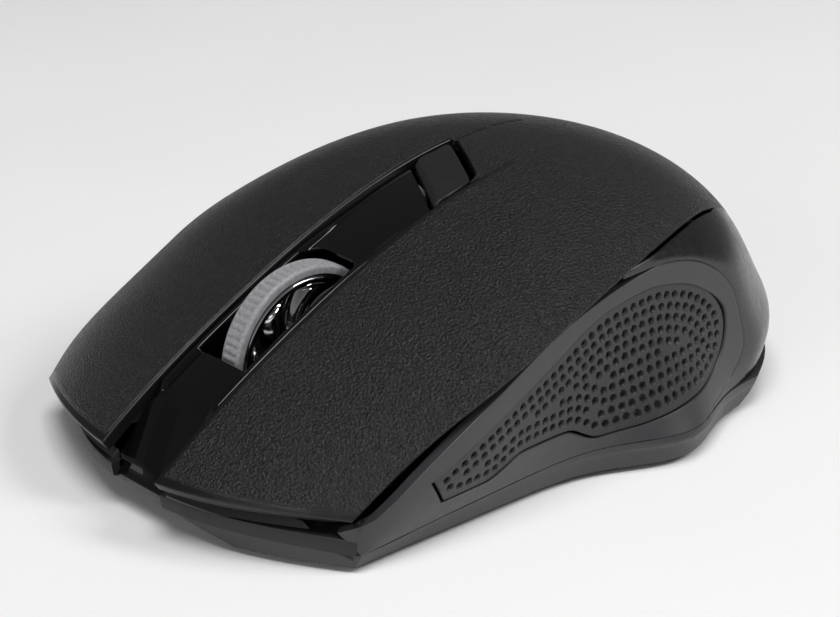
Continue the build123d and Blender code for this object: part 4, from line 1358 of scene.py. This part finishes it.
class MOUSE_OT_finishes(bpy.types.Operator):
    """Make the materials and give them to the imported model's pieces"""
    bl_idname = "mouse.finishes"
    bl_label = "Materials"

    def execute(self, context):
        FINISHES.update(finishes())
        slots = {part["node"]: part["material_slot"] for part in frame["record"]["subparts"]}
        for node, obj in frame["nodes"].items():
            obj.data.materials.clear()
            shown = "satin_grey" if node in ("bottom_case", "battery_door") else slots[node]
            obj.data.materials.append(FINISHES[shown])
        return {"FINISHED"}


class MOUSE_OT_shell(bpy.types.Operator):
    """Build the palm shell, the two main buttons and the ledges under their front edges"""
    bl_idname = "mouse.shell"
    bl_label = "Shell and buttons"

    def execute(self, context):
        make_shell()
        make_buttons()
        make_ledges()
        return {"FINISHED"}


class MOUSE_OT_spine(bpy.types.Operator):
    """Build the glossy strip with its chin, and the mode button"""
    bl_idname = "mouse.spine"
    bl_label = "Spine and mode button"

    def execute(self, context):
        make_spine()
        make_mode_button()
        return {"FINISHED"}


class MOUSE_OT_wheel(bpy.types.Operator):
    """Build the scroll wheel: its ribbed tyre, its finned hub and the ring between them"""
    bl_idname = "mouse.wheel"
    bl_label = "Wheel"

    def execute(self, context):
        make_wheel()
        return {"FINISHED"}


class MOUSE_OT_sides(bpy.types.Operator):
    """Build the side panels, their dimpled grips and the tail band"""
    bl_idname = "mouse.sides"
    bl_label = "Sides and tail"

    def execute(self, context):
        make_sides()
        make_tail()
        return {"FINISHED"}


GROUPS = (MouseSizes, MouseFinish, MouseStage)
OPERATORS = (
    MOUSE_OT_stage, MOUSE_OT_finishes, MOUSE_OT_shell, MOUSE_OT_spine, MOUSE_OT_wheel, MOUSE_OT_sides)


class MOUSE_PT_panel(bpy.types.Panel):
    """Sizes, colours and steps of the mouse"""
    bl_idname = "MOUSE_PT_panel"
    bl_label = "Computer mouse"
    bl_space_type = "VIEW_3D"
    bl_region_type = "UI"
    bl_category = "Mouse"

    def draw(self, context):
        for group in (context.scene.mouse_sizes, context.scene.mouse_finish, context.scene.mouse_stage):
            column = self.layout.column(align=True)
            for name in group.bl_rna.properties.keys():
                if name not in ("rna_type", "name"):
                    column.prop(group, name)
        for operator in OPERATORS:
            self.layout.operator(operator.bl_idname)


def register():
    for cls in (*GROUPS, *OPERATORS, MOUSE_PT_panel):
        bpy.utils.register_class(cls)
    bpy.types.Scene.mouse_sizes = bpy.props.PointerProperty(type=MouseSizes)
    bpy.types.Scene.mouse_finish = bpy.props.PointerProperty(type=MouseFinish)
    bpy.types.Scene.mouse_stage = bpy.props.PointerProperty(type=MouseStage)


def unregister():
    del bpy.types.Scene.mouse_sizes, bpy.types.Scene.mouse_finish, bpy.types.Scene.mouse_stage
    for cls in reversed((*GROUPS, *OPERATORS, MOUSE_PT_panel)):
        bpy.utils.unregister_class(cls)


def main():
    register()
    bpy.context.scene.view_settings.view_transform = "Standard"
    for operator in OPERATORS:
        step = getattr(bpy.ops.mouse, operator.bl_idname.split(".")[1])
        step()


if __name__ == "__main__":
    main()
